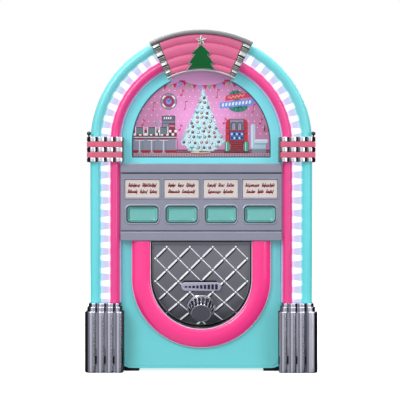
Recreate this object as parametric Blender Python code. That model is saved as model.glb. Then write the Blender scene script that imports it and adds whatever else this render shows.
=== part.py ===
"""Tabletop novelty jukebox: an arched case with lit tubes, a diner scene behind a
half-moon window, a selector panel with four buttons, a bowed speaker grille and a
volume knob.

All driving dimensions are in millimetres and are scaled to metres when a mesh is made.
+Z is up, the front faces -Y, and the origin is on the floor under the middle of the case.
"""

import math

import bmesh
import bpy
from mathutils import Vector

MM = 0.001
GAP = 0.3  # clearance between neighbouring pieces

# ---------------------------------------------------------------- driving dimensions
# the arch: its centre height and the radii of the bands that run round it
ARCH_Z = 204.1
R_TUBE_OUT = 99.1
R_LED_OUT = 89.6
R_LED_IN = 81.6
R_PINK_IN = 72.9
BAND_FOOT_Z = 61.8  # the three bands stand on the pillars' tops
ARCH_STEPS = 36

# depths, front to back
Y_FACE = -36.0  # front of the teal face
FACE_T = 2.5
Y_TUBE = -46.0  # crown of the half-round tubes
Y_SPLIT = 2.0  # joint line between the front housing and the rear cover
Y_BACK = 54.0  # outer face of the rear cover
CASE_W = 98.4  # half width of the case, and its radius over the arch
CASE_FLOOR = 2.8
WALL = 2.4

# half-moon window
WIN_R = 62.2
WIN_Z0 = 191.5

# selector panel
PANEL_W = 71.9
PANEL_Z0, PANEL_Z1 = 117.0, 186.0
PANEL_BAR_T = 8.2
Y_PANEL = -43.0
Y_PANEL_BAR = -44.8
SLOT_PITCH = 35.0
CARD_W, CARD_H, CARD_Z = 31.4, 16.6, 163.4
KEY_W, KEY_H, KEY_Z = 27.4, 14.4, 140.4
KEY_TRAVEL = 2.0

# U-shaped surround and bowed grille
U_Z = 83.3
U_R_OUT, U_R_IN = 62.2, 44.8
U_TOP = 116.6
Y_GRILLE = -38.5
BOW_Z, BOW_K = 95.0, 0.0072  # the grille falls back below BOW_Z as BOW_K * drop squared
GRILLE_T = 1.8

# volume knob, square to the bowed grille
KNOB_Z = 58.0
KNOB_R, KNOB_FACE_R, KNOB_H = 12.9, 8.4, 13.0

# corner pillars
PIL_OUT, PIL_IN = 103.5, 69.0
PIL_GROOVES = (93.0, 85.05, 77.15)
Y_PIL = -54.0
PIL_BACK = -8.0
PIL_Z1, PIL_Z2, PIL_Z3 = 54.3, 58.4, 61.5

# side brackets
BRK_OUT, BRK_IN = 101.8, 68.9
BRK_GROOVES = (93.2, 85.5, 77.5)
Y_BRK = -50.8
BRK_BACK = -18.0
BRK_BANDS = (187.3, 190.9, 196.3, 200.1, 205.6, 209.5)

# crest
CREST_HALF = 27.3  # degrees either side of the top
CREST_BAR = 22.8
CREST_R0, CREST_R1 = 64.0, 100.9
Y_CREST = -52.5


# ---------------------------------------------------------------- shapes
# A shape is (points, faces) in millimetres; several are put together into one mesh.
def box(x0, x1, y0, y1, z0, z1):
    pts = [(x, y, z) for z in (z0, z1) for x, y in ((x0, y0), (x1, y0), (x1, y1), (x0, y1))]
    return pts, [(0, 1, 2, 3), (7, 6, 5, 4), (0, 4, 5, 1), (1, 5, 6, 2), (2, 6, 7, 3), (3, 7, 4, 0)]


def loft(loops):
    """Closed loops with the same number of points, joined in order and capped at both ends."""
    n = len(loops[0])
    pts = [p for loop in loops for p in loop]
    faces = [
        (i * n + j, i * n + (j + 1) % n, (i + 1) * n + (j + 1) % n, (i + 1) * n + j)
        for i in range(len(loops) - 1)
        for j in range(n)
    ]
    last = (len(loops) - 1) * n
    return pts, faces + [tuple(range(n)), tuple(last + n - 1 - j for j in range(n))]


def prism(outline, y0, y1):
    """An outline in X and Z, extruded along Y."""
    return loft([[(x, y0, z) for x, z in outline], [(x, y1, z) for x, z in outline]])


def turned(profile, steps, centre=(0, 0, 0)):
    """A profile of (radius, height) turned about a line along local Z through centre."""
    cx, cy, cz = centre
    loops = []
    for i in range(steps):
        a = 2 * math.pi * i / steps
        loops.append([(cx + r * math.cos(a), cy + r * math.sin(a), cz + h) for r, h in profile])
    n = len(profile)
    pts = [p for loop in loops for p in loop]
    faces = []
    for i in range(steps):
        k = (i + 1) % steps
        for j in range(n):
            m = (j + 1) % n
            faces.append((i * n + j, i * n + m, k * n + m, k * n + j))
    return pts, faces


def turned_y(profile, steps, x, z):
    """A profile of (radius, y) turned about a line along Y through (x, z)."""
    pts, faces = turned(profile, steps)
    return [(x + p[0], p[2], z + p[1]) for p in pts], faces


def arc(cx, cz, r, a0, a1, steps):
    return [
        (
            cx + r * math.cos(math.radians(a0 + (a1 - a0) * i / steps)),
            cz + r * math.sin(math.radians(a0 + (a1 - a0) * i / steps)),
        )
        for i in range(steps + 1)
    ]


def arch_outline(r, z0, steps=ARCH_STEPS, centre_z=ARCH_Z):
    return [(-r, z0)] + arc(0, centre_z, r, 180, 0, steps) + [(r, z0)]


def rounded_rect(cx, cz, w, h, r, steps=3):
    pts = []
    for sx, sz, a in ((1, 1, 0), (-1, 1, 90), (-1, -1, 180), (1, -1, 270)):
        pts += arc(cx + sx * (w / 2 - r), cz + sz * (h / 2 - r), r, a, a + 90, steps)
    return pts


def swept_arch(profile, foot_z):
    """A profile of (radius, y) carried up one side, round the arch and down the other."""
    loops = [[(-r, y, foot_z) for r, y in profile]]
    for i in range(ARCH_STEPS + 1):
        a = math.pi * (1 - i / ARCH_STEPS)
        loops.append([(r * math.cos(a), y, ARCH_Z + r * math.sin(a)) for r, y in profile])
    return loft(loops + [[(r, y, foot_z) for r, y in profile]])


def swept_sector(profile, half, steps):
    """A profile of (radius, y) carried round the top of the arch, half degrees either side."""
    loops = []
    for i in range(steps + 1):
        a = math.radians(90 + half - 2 * half * i / steps)
        loops.append([(r * math.cos(a), y, ARCH_Z + r * math.sin(a)) for r, y in profile])
    return loft(loops)


def swept_u(profile, top_z, steps=28):
    """A profile of (radius, y) carried down one side, round the bottom and up the other."""
    loops = [[(-r, y, top_z) for r, y in profile]]
    for i in range(steps + 1):
        a = math.pi * (1 + i / steps)
        loops.append([(r * math.cos(a), y, U_Z + r * math.sin(a)) for r, y in profile])
    return loft(loops + [[(r, y, top_z) for r, y in profile]])


def mirrored(shape):
    pts, faces = shape
    return [(-x, y, z) for x, y, z in pts], [tuple(reversed(f)) for f in faces]


# ---------------------------------------------------------------- materials and objects
def linear(c):
    return tuple(v / 12.92 if v <= 0.04045 else ((v + 0.055) / 1.055) ** 2.4 for v in c)


def material(name, rgb, rough=0.4, metal=0.0, alpha=1.0, glow=0.0):
    m = bpy.data.materials.new(name)
    m.use_nodes = True
    shader = m.node_tree.nodes["Principled BSDF"]
    colour = (*linear(tuple(v / 255 for v in rgb)), 1.0)
    shader.inputs["Base Color"].default_value = colour
    shader.inputs["Roughness"].default_value = rough
    shader.inputs["Metallic"].default_value = metal
    shader.inputs["Alpha"].default_value = alpha
    if glow:
        shader.inputs["Emission Color"].default_value = colour
        shader.inputs["Emission Strength"].default_value = glow
    m.diffuse_color = colour
    return m


def make(name, shapes, mat=None, origin=(0, 0, 0), sharp=30):
    """One mesh object from shapes in millimetres, with its own origin."""
    me = bpy.data.meshes.new(name)
    bm = bmesh.new()
    for pts, faces in shapes:
        vs = [bm.verts.new([(p[i] - origin[i]) * MM for i in range(3)]) for p in pts]
        for f in faces:
            bm.faces.new([vs[i] for i in f])
    bmesh.ops.remove_doubles(bm, verts=bm.verts, dist=1e-7)
    bmesh.ops.dissolve_degenerate(bm, edges=bm.edges, dist=1e-7)
    bmesh.ops.recalc_face_normals(bm, faces=bm.faces)
    bm.to_mesh(me)
    bm.free()
    me.shade_smooth()
    me.set_sharp_from_angle(angle=math.radians(sharp))
    obj = bpy.data.objects.new(name, me)
    obj.location = Vector(origin) * MM
    bpy.context.scene.collection.objects.link(obj)
    if mat:
        me.materials.append(mat)
    return obj


def tool(obj, shapes, operation, label):
    """A hidden solid that cuts obj, or adds to it."""
    helper = make(obj.name + "_" + label, shapes)
    helper.hide_render = True
    helper.display_type = "WIRE"
    m = obj.modifiers.new(label, "BOOLEAN")
    m.object = helper
    m.operation = operation
    m.solver = "EXACT"
    return helper


def grille_y(z):
    return Y_GRILLE + BOW_K * max(0.0, BOW_Z - z) ** 2


for old in list(bpy.data.objects):
    bpy.data.objects.remove(old)

TEAL = material("teal_plastic", (106, 203, 210), 0.22)
TEAL_BACK = material("teal_plastic_rear", (104, 198, 205), 0.35)
PINK = material("pink_plastic", (236, 78, 148), 0.18)
HOT_PINK = material("hot_pink_plastic", (253, 72, 146), 0.2)
MILKY = material("milky_plastic", (244, 242, 255), 0.4, glow=0.6)
CHROME = material("chrome_plating", (190, 190, 196), 0.12, 1.0)
CREST_PINK = material("crest_pink", (224, 105, 148), 0.35)
TREE_GREEN = material("tree_green", (16, 92, 48), 0.4)
BAND_PINK = material("band_pink", (228, 104, 134), 0.35)
SILVER = material("silver_paint", (158, 160, 176), 0.35, 0.5)
CARD = material("card", (226, 220, 210), 0.7)
KEY_TEAL = material("key_teal", (118, 205, 190), 0.2)
DARK_CHROME = material("dark_chrome", (120, 120, 132), 0.2, 1.0)
LILAC = material("lilac_plate", (205, 200, 225), 0.3)
CLEAR = material("clear_acrylic", (235, 245, 250), 0.03, alpha=0.3)
PRINT = material("printed_film", (228, 150, 205), 0.5, glow=0.5)
WHITE = material("white_reflector", (240, 240, 240), 0.5)
BOARD = material("circuit_board", (30, 110, 60), 0.45)
BASKET = material("speaker_basket", (60, 62, 66), 0.4, 0.9)
PAPER = material("speaker_paper", (38, 38, 40), 0.8)
BLACK = material("black_plastic", (28, 28, 30), 0.5)
CELL = material("battery_sleeve", (196, 150, 60), 0.3, 0.3)
SPRING = material("contact_spring", (200, 196, 186), 0.25, 1.0)
RUBBER = material("black_rubber", (24, 24, 25), 0.85)
STEEL = material("screw_steel", (150, 150, 152), 0.3, 1.0)

# ---------------------------------------------------------------- front housing
case_out = arch_outline(CASE_W, CASE_FLOOR)
case_in = arch_outline(CASE_W - WALL, CASE_FLOOR + WALL)


def tray(y_closed, y_open, skin):
    """An arched tray: closed at y_closed with the given skin, open at y_open."""
    inner = y_closed + (skin if y_open > y_closed else -skin)
    return loft(
        [
            [(x, y_closed, z) for x, z in case_out],
            [(x, y_open, z) for x, z in case_out],
            [(x, y_open, z) for x, z in case_in],
            [(x, inner, z) for x, z in case_in],
        ]
    )


POSTS = ((-84.0, 26.0), (84.0, 26.0), (-68.0, 262.0), (68.0, 262.0))
front = make("front_shell", [tray(Y_FACE, Y_SPLIT - GAP / 2, FACE_T)], TEAL)
tool(
    front,
    [turned_y([(3.4, Y_FACE + 1.2), (3.4, Y_SPLIT - 1.2), (0, Y_SPLIT - 1.2), (0, Y_FACE + 1.2)], 12, x, z) for x, z in POSTS],
    "UNION",
    "screw_posts",
)
window_hole = arch_outline(WIN_R, WIN_Z0)
u_hole = [(-52.0, 119.5)] + arc(0, U_Z, 52.0, 180, 360, 24) + [(52.0, 119.5)]
tool(
    front,
    [
        prism(window_hole, Y_FACE - 5, Y_FACE + 6),
        prism(u_hole, Y_FACE - 5, Y_FACE + 6),
        box(-66, 66, Y_FACE - 5, Y_FACE + 6, 129.5, 151.3),
    ]
    + [
        turned_y([(1.35, Y_SPLIT - 18), (1.35, Y_SPLIT + 3), (0, Y_SPLIT + 3), (0, Y_SPLIT - 18)], 12, x, z)
        for x, z in POSTS
    ],
    "DIFFERENCE",
    "openings",
)

# ---------------------------------------------------------------- rear cover
BAY = (-30.5, 30.5, 17.5, 69.5)
VENT_Z = tuple(118.0 + 6.0 * i for i in range(6))
rear = make("rear_cover", [tray(Y_BACK, Y_SPLIT + GAP / 2, WALL)], TEAL_BACK)
tool(
    rear,
    [turned_y([(5.0, Y_SPLIT + 0.4), (5.0, Y_BACK - 1), (0, Y_BACK - 1), (0, Y_SPLIT + 0.4)], 14, x, z) for x, z in POSTS],
    "UNION",
    "screw_wells",
)
tool(
    rear,
    [box(BAY[0], BAY[1], Y_BACK - 6, Y_BACK + 4, BAY[2], BAY[3])]
    + [prism(rounded_rect(0, z, 52, 2.4, 1.1, 2), Y_BACK - 6, Y_BACK + 4) for z in VENT_Z]
    + [
        prism(rounded_rect(50, 30, 10.0, 4.2, 1.9, 3), Y_BACK - 6, Y_BACK + 4),
        box(43.4, 56.6, Y_BACK - 6, Y_BACK + 4, 47.4, 51.6),
    ]
    + [
        turned_y(
            [(1.5, Y_SPLIT - 3), (1.5, Y_SPLIT + 3), (3.3, Y_SPLIT + 3), (3.3, Y_BACK + 4), (0, Y_BACK + 4), (0, Y_SPLIT - 3)],
            14,
            x,
            z,
        )
        for x, z in POSTS
    ],
    "DIFFERENCE",
    "openings",
)
for name, (x, z) in zip(("lower_right", "lower_left", "upper_right", "upper_left"), POSTS):
    # named as seen from behind
    make(
        "rear_screw_" + name,
        [
            turned_y(
                [
                    (0, Y_SPLIT - 14),
                    (1.0, Y_SPLIT - 13),
                    (1.0, Y_SPLIT + 3.3),
                    (2.8, Y_SPLIT + 3.3),
                    (2.8, Y_SPLIT + 4.6),
                    (1.6, Y_SPLIT + 5.4),
                    (0, Y_SPLIT + 5.4),
                ],
                12,
                x,
                z,
            )
        ],
        STEEL,
    )

# ---------------------------------------------------------------- the three lit bands


def half_round(r0, r1, y_back, y_spring, y_crown, steps=6):
    """A tube section: square at the back, half an ellipse at the front."""
    mid, half = (r0 + r1) / 2, (r1 - r0) / 2
    pts = [(r0, y_back)]
    for i in range(steps + 1):
        a = math.pi * (1 - i / steps)
        pts.append((mid + half * math.cos(a), y_spring + (y_crown - y_spring) * math.sin(a)))
    return pts + [(r1, y_back)]


y_seat = Y_FACE - GAP
outer_section = half_round(R_LED_OUT + 0.15, R_TUBE_OUT, y_seat, -41.0, Y_TUBE)
pink_section = half_round(R_PINK_IN, R_LED_IN - 0.15, y_seat, -41.0, Y_TUBE)
make("outer_tube", [swept_arch(outer_section, BAND_FOOT_Z)], TEAL)
make("inner_tube", [swept_arch(pink_section, BAND_FOOT_Z)], PINK)
d0, d1 = R_LED_IN + 0.15, R_LED_OUT - 0.15
make(
    "led_diffuser",
    [
        swept_arch(
            [
                (d0, y_seat),
                (d0, -41.0),
                (d0 + 1.2, -41.8),
                (d1 - 1.2, -41.8),
                (d1, -41.0),
                (d1, y_seat),
                (d1 - 1.5, y_seat),
                (d1 - 1.5, -39.6),
                (d0 + 1.5, -39.6),
                (d0 + 1.5, y_seat),
            ],
            BAND_FOOT_Z,
        )
    ],
    MILKY,
)
mid = (d0 + d1) / 2
make(
    "led_strip",
    [swept_arch([(mid - 1.9, y_seat), (mid - 1.9, -37.8), (mid + 1.9, -37.8), (mid + 1.9, y_seat)], BAND_FOOT_Z + 3)],
    WHITE,
)

# ---------------------------------------------------------------- crest
saddle = [
    (CREST_R0, y_seat),
    (R_PINK_IN - 0.4, y_seat),
    (R_PINK_IN - 0.4, -41.4),
    (R_PINK_IN + 0.4, -45.0),
    ((R_PINK_IN + R_LED_IN) / 2, -46.6),
    (R_LED_IN - 0.6, -45.0),
    (R_LED_IN + 0.2, -42.3),
    (R_LED_OUT - 0.2, -42.3),
    (R_LED_OUT + 0.7, -45.0),
    ((R_LED_OUT + R_TUBE_OUT) / 2, -46.6),
    (R_TUBE_OUT - 0.5, -45.0),
    (R_TUBE_OUT + 0.5, -41.4),
    (R_TUBE_OUT + 0.5, -30.0),
    (CREST_R1, -30.0),
    (CREST_R1, Y_CREST),
    (CREST_R0, Y_CREST),
]
crest = make("crest_frame", [swept_sector(saddle, CREST_HALF, 18)], CHROME)
tool(
    crest,
    [swept_sector([(65.1, -48.6), (65.1, -60.0), (97.3, -60.0), (97.3, -48.6)], CREST_BAR, 14)],
    "DIFFERENCE",
    "panel_recess",
)
LOBES = (65.4, 71.2, 79.6, 89.5, 97.0)
fan = [(LOBES[0], -48.9)]
for r0, r1 in zip(LOBES, LOBES[1:]):
    for i in range(5):
        a = math.pi * (i / 5)
        fan.append((r0 + (r1 - r0) * i / 5, -50.1 - 1.4 * math.sin(a)))
fan += [(LOBES[-1], -50.1), (LOBES[-1], -48.9)]
make("crest_panel", [swept_sector(fan, CREST_BAR - 0.35, 12)], CREST_PINK)
half_tree = [(0.0, 291.4), (9.1, 282.9), (5.9, 282.3), (11.5, 274.7), (8.7, 274.0), (13.1, 268.5), (6.6, 269.5)]
tree = half_tree + [(0.0, 269.7)] + [(-x, z) for x, z in reversed(half_tree[1:])]
make("crest_tree", [prism(tree, -51.8, -53.0)], TREE_GREEN)
STAR_Z = 295.0
rim = []
for i in range(10):
    a = math.radians(90 + 36 * i)
    r = 5.1 if i % 2 == 0 else 2.1
    rim.append((r * math.cos(a), STAR_Z + r * math.sin(a)))
star_pts = [(x, -51.8, z) for x, z in rim] + [(x, -52.2, z) for x, z in rim] + [(0, -53.7, STAR_Z)]
star_faces = [tuple(range(10))]
for i in range(10):
    k = (i + 1) % 10
    star_faces += [(i, k, 10 + k, 10 + i), (10 + i, 10 + k, 20)]
make("crest_star", [(star_pts, star_faces)], CHROME, sharp=5)

# ---------------------------------------------------------------- fluted walls


def flutes(start, end, bulge, steps=4):
    """Points of a lobe that swells by bulge to the left of the way from start to end, end left out."""
    (x0, y0), (x1, y1) = start, end
    length = math.hypot(x1 - x0, y1 - y0)
    nx, ny = (y1 - y0) / length, -(x1 - x0) / length
    pts = []
    for i in range(steps):
        t = i / steps
        b = bulge * math.sin(math.pi * t) ** 0.7 if i else 0.0
        pts.append((x0 + (x1 - x0) * t + nx * b, y0 + (y1 - y0) * t + ny * b))
    return pts


def fluted_path(x_in, x_out, grooves, y_front, y_back, y_inner_back, depth, side_lobes, inset=0.0):
    """Outer line of a strap that wraps the front corner, in plan: inner back, round the front, outer back."""
    x0, x1, yf = x_in + inset, x_out - inset, y_front + inset
    yg = yf + depth
    stops = [x0 + 0.4] + sorted(grooves) + [x1 - depth]
    pts = [(x0, y_inner_back), (x0, yg + 0.6)]
    for a, b in zip(stops, stops[1:]):
        pts += flutes((a, yg), (b, yg), depth)
    y0 = yg
    for i in range(side_lobes):
        a = (x1 - depth, y0 + (y_back - y0) * i / side_lobes)
        b = (x1 - depth, y0 + (y_back - y0) * (i + 1) / side_lobes)
        pts += flutes(a, b, depth)
    return pts + [(x1 - depth, y_back)]


# ---------------------------------------------------------------- pillars
def pillar():
    inner_open = [(CASE_W + 0.4, PIL_BACK), (CASE_W + 0.4, -46.5), (72.0, -46.5), (72.0, y_seat)]
    inner_shut = [(CASE_W + 0.4, PIL_BACK), (CASE_W + 0.4, y_seat), (72.0, y_seat - 0.01), (72.0, y_seat)]
    levels = []
    for z, step, inner in (
        (0.0, 0.0, inner_open),
        (50.0, 0.0, inner_open),
        (50.0, 0.0, inner_shut),
        (PIL_Z1, 0.0, inner_shut),
        (PIL_Z1, 1.9, inner_shut),
        (PIL_Z2, 1.9, inner_shut),
        (PIL_Z2, 3.1, inner_shut),
        (PIL_Z3, 3.1, inner_shut),
    ):
        line = fluted_path(PIL_IN, PIL_OUT, PIL_GROOVES, Y_PIL, PIL_BACK, y_seat, 2.0, 5, inset=step)
        # the stepped top keeps a wall beside the case
        line = [(max(x, CASE_W + 1.3), y) if y > Y_PIL + 7 and x > 90 else (x, y) for x, y in line]
        levels.append([(x, y, z) for x, y in line + inner])
    return loft(levels)


make("pillar_right", [pillar()], CHROME)
make("pillar_left", [mirrored(pillar())], CHROME)


# ---------------------------------------------------------------- side brackets
def bracket():
    inner = [(R_TUBE_OUT + 0.5, BRK_BACK), (R_TUBE_OUT + 0.5, -46.5), (R_PINK_IN - 0.5, -46.5), (R_PINK_IN - 0.5, y_seat)]
    args = (BRK_IN, BRK_OUT, BRK_GROOVES, Y_BRK, BRK_BACK, y_seat, 1.6, 4)
    lobed = fluted_path(*args)
    # between the chrome bands the wall is plain and set back, where the pink strips lie
    front_wall, side_wall = Y_BRK + 2.1, BRK_OUT - 1.2
    flat = [(min(x, side_wall), max(y, front_wall)) for x, y in lobed]
    levels = []
    b = BRK_BANDS
    for z, line in (
        (b[0], lobed),
        (b[1], lobed),
        (b[1], flat),
        (b[2], flat),
        (b[2], lobed),
        (b[3], lobed),
        (b[3], flat),
        (b[4], flat),
        (b[4], lobed),
        (b[5], lobed),
    ):
        levels.append([(x, y, z) for x, y in line + inner])
    return loft(levels)


def band(z0, z1):
    """A pink inlay strip that lies on the bracket's plain wall, round the outer corner."""
    front_wall, side_wall = Y_BRK + 2.1, BRK_OUT - 1.2
    x0, y0, y1 = BRK_IN + 1.4, front_wall - GAP, BRK_BACK - 2.0
    xi, xo, t = side_wall + GAP, BRK_OUT - 0.15, 0.9
    outline = [(x0, y0), (x0, y0 - t), (xo - 1.2, y0 - t), (xo, y0 - t + 1.2), (xo, y1), (xi, y1), (xi, y0)]
    return loft([[(x, y, z) for x, y in outline] for z in (z0 + GAP, z1 - GAP)])


make("bracket_right", [bracket()], CHROME)
make("bracket_left", [mirrored(bracket())], CHROME)
for side, flip in (("right", False), ("left", True)):
    for level, z0, z1 in (("lower", BRK_BANDS[1], BRK_BANDS[2]), ("upper", BRK_BANDS[3], BRK_BANDS[4])):
        shape = band(z0, z1)
        make("bracket_band_%s_%s" % (side, level), [mirrored(shape) if flip else shape], BAND_PINK)

# ---------------------------------------------------------------- selector panel
section = [
    (y_seat, PANEL_Z0),
    (Y_PANEL_BAR, PANEL_Z0),
    (Y_PANEL_BAR, PANEL_Z0 + PANEL_BAR_T),
    (Y_PANEL, PANEL_Z0 + PANEL_BAR_T),
    (Y_PANEL, PANEL_Z1 - PANEL_BAR_T),
    (Y_PANEL_BAR, PANEL_Z1 - PANEL_BAR_T),
    (Y_PANEL_BAR, PANEL_Z1),
    (y_seat, PANEL_Z1),
]
panel = make("control_panel", [loft([[(x, y, z) for y, z in section] for x in (-PANEL_W, PANEL_W)])], SILVER)
SLOTS = tuple(SLOT_PITCH * (i - 1.5) for i in range(4))
tool(
    panel,
    [box(-PANEL_W + 2.3, PANEL_W - 2.3, -40.6, -30.0, PANEL_Z0 + 2.3, PANEL_Z1 - 2.3)]
    + [box(x - CARD_W / 2, x + CARD_W / 2, -60, -41.5, CARD_Z - CARD_H / 2, CARD_Z + CARD_H / 2) for x in SLOTS],
    "DIFFERENCE",
    "pockets",
)
tool(
    panel,
    [prism(rounded_rect(x, KEY_Z, KEY_W + 0.9, KEY_H + 0.9, 3.6), -60, -35) for x in SLOTS],
    "DIFFERENCE",
    "key_holes",
)
for i, x in enumerate(SLOTS):
    w, h = CARD_W / 2 - GAP, CARD_H / 2 - GAP
    make("title_card_%d" % (i + 1), [box(x - w, x + w, -42.4, -41.8, CARD_Z - h, CARD_Z + h)], CARD)
    cap = rounded_rect(x, KEY_Z, KEY_W, KEY_H, 3.2)
    flange = rounded_rect(x, KEY_Z, KEY_W + 3.2, KEY_H + 3.2, 3.2)
    stem = rounded_rect(x, KEY_Z, 5.0, 5.0, 1.0)
    loops = []
    for line, y in ((cap, -42.5), (cap, -40.3), (flange, -40.3), (flange, -39.2), (stem, -39.2), (stem, -34.8)):
        loops.append([(px, y, pz) for px, pz in line])
    make("button_%d" % (i + 1), [loft(loops)], KEY_TEAL, origin=(x, -42.5, KEY_Z))
switches = [box(x - 3, x + 3, -31.0, -27.6, KEY_Z - 3, KEY_Z + 3) for x in SLOTS]
plungers = [turned_y([(1.7, -32.3), (1.7, -30.0), (0, -30.0), (0, -32.3)], 10, x, KEY_Z) for x in SLOTS]
board = make("button_board", [box(-62, 62, -28.2, -26.6, 132, 149)], BOARD)
tool(board, switches, "UNION", "switches")
tool(board, plungers, "UNION", "plungers")

# ---------------------------------------------------------------- speaker surround, grille
surround = [
    (U_R_IN, -14.0),
    (U_R_IN, -40.6),
    (46.2, -42.6),
    (49.5, -43.6),
    (53.0, -43.6),
    (57.0, -42.6),
    (60.2, -40.6),
    (U_R_OUT, -38.2),
    (U_R_OUT, y_seat),
    (46.6, y_seat),
    (46.6, -14.0),
]
make("grille_surround", [swept_u(surround, U_TOP)], HOT_PINK)
rows = [116.3, BOW_Z] + [BOW_Z - 5.0 * i for i in range(1, 10)] + [45.5, 42.8, U_Z - U_R_IN + GAP + 0.9]
edge = U_R_IN - GAP
loops = []
for z in rows:
    half = edge if z >= U_Z else math.sqrt(max(1.0, edge**2 - (U_Z - z) ** 2))
    y = grille_y(z)
    loops.append([(-half, y, z), (half, y, z), (half, y + GRILLE_T, z), (-half, y + GRILLE_T, z)])
grille = make("grille", [loft(loops)], DARK_CHROME)

# the knob's line: square to the grille where the shaft comes through
KNOB_Y = grille_y(KNOB_Z)
KNOB_TILT = math.atan(2 * BOW_K * (BOW_Z - KNOB_Z))
knob_turn = (math.pi / 2 + KNOB_TILT, 0, 0)


def on_knob_line(obj):
    obj.location = Vector((0, KNOB_Y, KNOB_Z)) * MM
    obj.rotation_euler = knob_turn
    return obj


shaft_hole = tool(grille, [turned([(3.6, -8), (3.6, 8), (0, 8), (0, -8)], 16)], "DIFFERENCE", "shaft_hole")
on_knob_line(shaft_hole)
on_knob_line(
    make(
        "volume_knob",
        [
            turned(
                [
                    (0, -7.0),
                    (3.0, -7.0),
                    (3.0, 1.6),
                    (KNOB_R, 1.6),
                    (KNOB_R, 3.2),
                    (KNOB_R - 1.2, 3.8),
                    (KNOB_R - 1.6, 6.0),
                    (KNOB_FACE_R + 0.6, KNOB_H - 0.8),
                    (KNOB_FACE_R, KNOB_H),
                    (0, KNOB_H),
                ],
                24,
            )
        ],
        CHROME,
    )
)
on_knob_line(
    make(
        "volume_pot",
        [turned([(0, -11.5), (8.0, -11.5), (8.0, -4.2), (3.4, -4.2), (3.4, -9.5), (0, -9.5)], 16)],
        BASKET,
    )
)
PLATE_Z = 76.6
plate_tilt = math.atan(2 * BOW_K * (BOW_Z - PLATE_Z))
pill = rounded_rect(0, 0, 36.0, 8.1, 4.0, 5)
plate = make("volume_plate", [prism(pill, -2.2, -0.5)], LILAC)
plate.location = Vector((0, grille_y(PLATE_Z), PLATE_Z)) * MM
plate.rotation_euler = (plate_tilt, 0, 0)

# ---------------------------------------------------------------- window, scene and light box
make("window_lens", [prism(arch_outline(WIN_R - GAP, WIN_Z0 + GAP), -35.4, -33.8)], CLEAR)
make("diorama_panel", [prism(arch_outline(WIN_R + 3.5, WIN_Z0 - 3.2), -33.2, -32.2)], PRINT)
bo, bi = arch_outline(67.4, 186.6, 24), arch_outline(65.8, 188.2, 24)
make(
    "light_box",
    [
        loft(
            [
                [(x, -8.0, z) for x, z in bo],
                [(x, -31.9, z) for x, z in bo],
                [(x, -31.9, z) for x, z in bi],
                [(x, -9.6, z) for x, z in bi],
            ]
        )
    ],
    WHITE,
)
lights = make("light_board", [box(-45, 45, -11.6, -10.0, 196, 246)], BOARD)
tool(
    lights,
    [box(x - 2.5, x + 2.5, -13.4, -11.0, z - 2.5, z + 2.5) for x in (-36, -12, 12, 36) for z in (203, 221, 239)],
    "UNION",
    "leds",
)

# ---------------------------------------------------------------- speaker and electronics
SPK_Z = 92.6
make(
    "speaker_frame",
    [
        turned_y(
            [(23.0, -31.0), (23.0, -29.4), (20.6, -28.8), (14.5, -18.4), (16.0, -18.4), (16.0, -9.0), (0, -9.0), (0, -15.0), (11.6, -19.6), (20.3, -31.0)],
            20,
            0,
            SPK_Z,
        )
    ],
    BASKET,
)
make(
    "speaker_cone",
    [turned_y([(19.6, -31.0), (17.6, -31.6), (16.0, -30.9), (6.4, -21.2), (3.5, -22.8), (0, -23.6), (0, -22.6), (3.0, -21.9), (6.6, -20.0), (16.6, -30.0), (19.0, -30.4)], 20, 0, SPK_Z)],
    PAPER,
)
main = make("main_board", [box(-38, 38, 14.0, 15.6, 96, 140)], BOARD)
tool(
    main,
    [
        box(-12, 4, 15.0, 17.4, 112, 126),
        box(14, 24, 15.0, 21.0, 104, 112),
        box(-32, -24, 15.0, 20.0, 128, 136),
        box(-30, -20, 15.0, 21.5, 102, 108),
        box(14, 32, 15.0, 18.0, 124, 134),
    ],
    "UNION",
    "parts",
)

# ---------------------------------------------------------------- battery bay
CELL_R, CELL_L = 7.1, 50.0
CELL_Z = (27.6, 43.5, 59.4)
make(
    "battery_box",
    [
        loft(
            [
                [(x, 33.0, z) for x, z in rounded_rect(0, 43.5, 60.4, 51.4, 1.5, 2)],
                [(x, 51.0, z) for x, z in rounded_rect(0, 43.5, 60.4, 51.4, 1.5, 2)],
                [(x, 51.0, z) for x, z in rounded_rect(0, 43.5, 57.6, 48.6, 1.0, 2)],
                [(x, 34.5, z) for x, z in rounded_rect(0, 43.5, 57.6, 48.6, 1.0, 2)],
            ]
        )
    ],
    BLACK,
)


def turned_x(profile, steps, y, z):
    pts, faces = turned(profile, steps)
    return [(p[2], y + p[0], z + p[1]) for p in pts], faces


for i, z in enumerate(CELL_Z):
    s = 1 if i % 2 == 0 else -1
    profile = [(0, -25 * s), (CELL_R, -25 * s), (CELL_R, 23.4 * s), (2.7, 23.6 * s), (2.7, 25 * s), (0, 25 * s)]
    make("battery_%d" % (i + 1), [turned_x(profile, 14, 42.6, z)], CELL)
for side, s in (("left", 1), ("right", -1)):
    make(
        "battery_contact_" + side,
        [box(min(s * 26.4, s * 27.4), max(s * 26.4, s * 27.4), 36, 49, 21, 66)],
        SPRING,
    )
DOOR_Z0, DOOR_Z1 = BAY[2] + GAP, BAY[3] - GAP
door = make(
    "battery_door",
    [
        loft(
            [
                [(x, Y_BACK - 2.0, z) for x, z in rounded_rect(0, 43.5, 60.4, DOOR_Z1 - DOOR_Z0, 0.8, 2)],
                [(x, Y_BACK - 0.5, z) for x, z in rounded_rect(0, 43.5, 60.4, DOOR_Z1 - DOOR_Z0, 0.8, 2)],
                [(x, Y_BACK, z) for x, z in rounded_rect(0, 43.5, 59.6, DOOR_Z1 - DOOR_Z0 - 0.8, 0.6, 2)],
            ]
        )
    ],
    TEAL_BACK,
    origin=(0, Y_BACK, DOOR_Z0),
)
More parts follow.
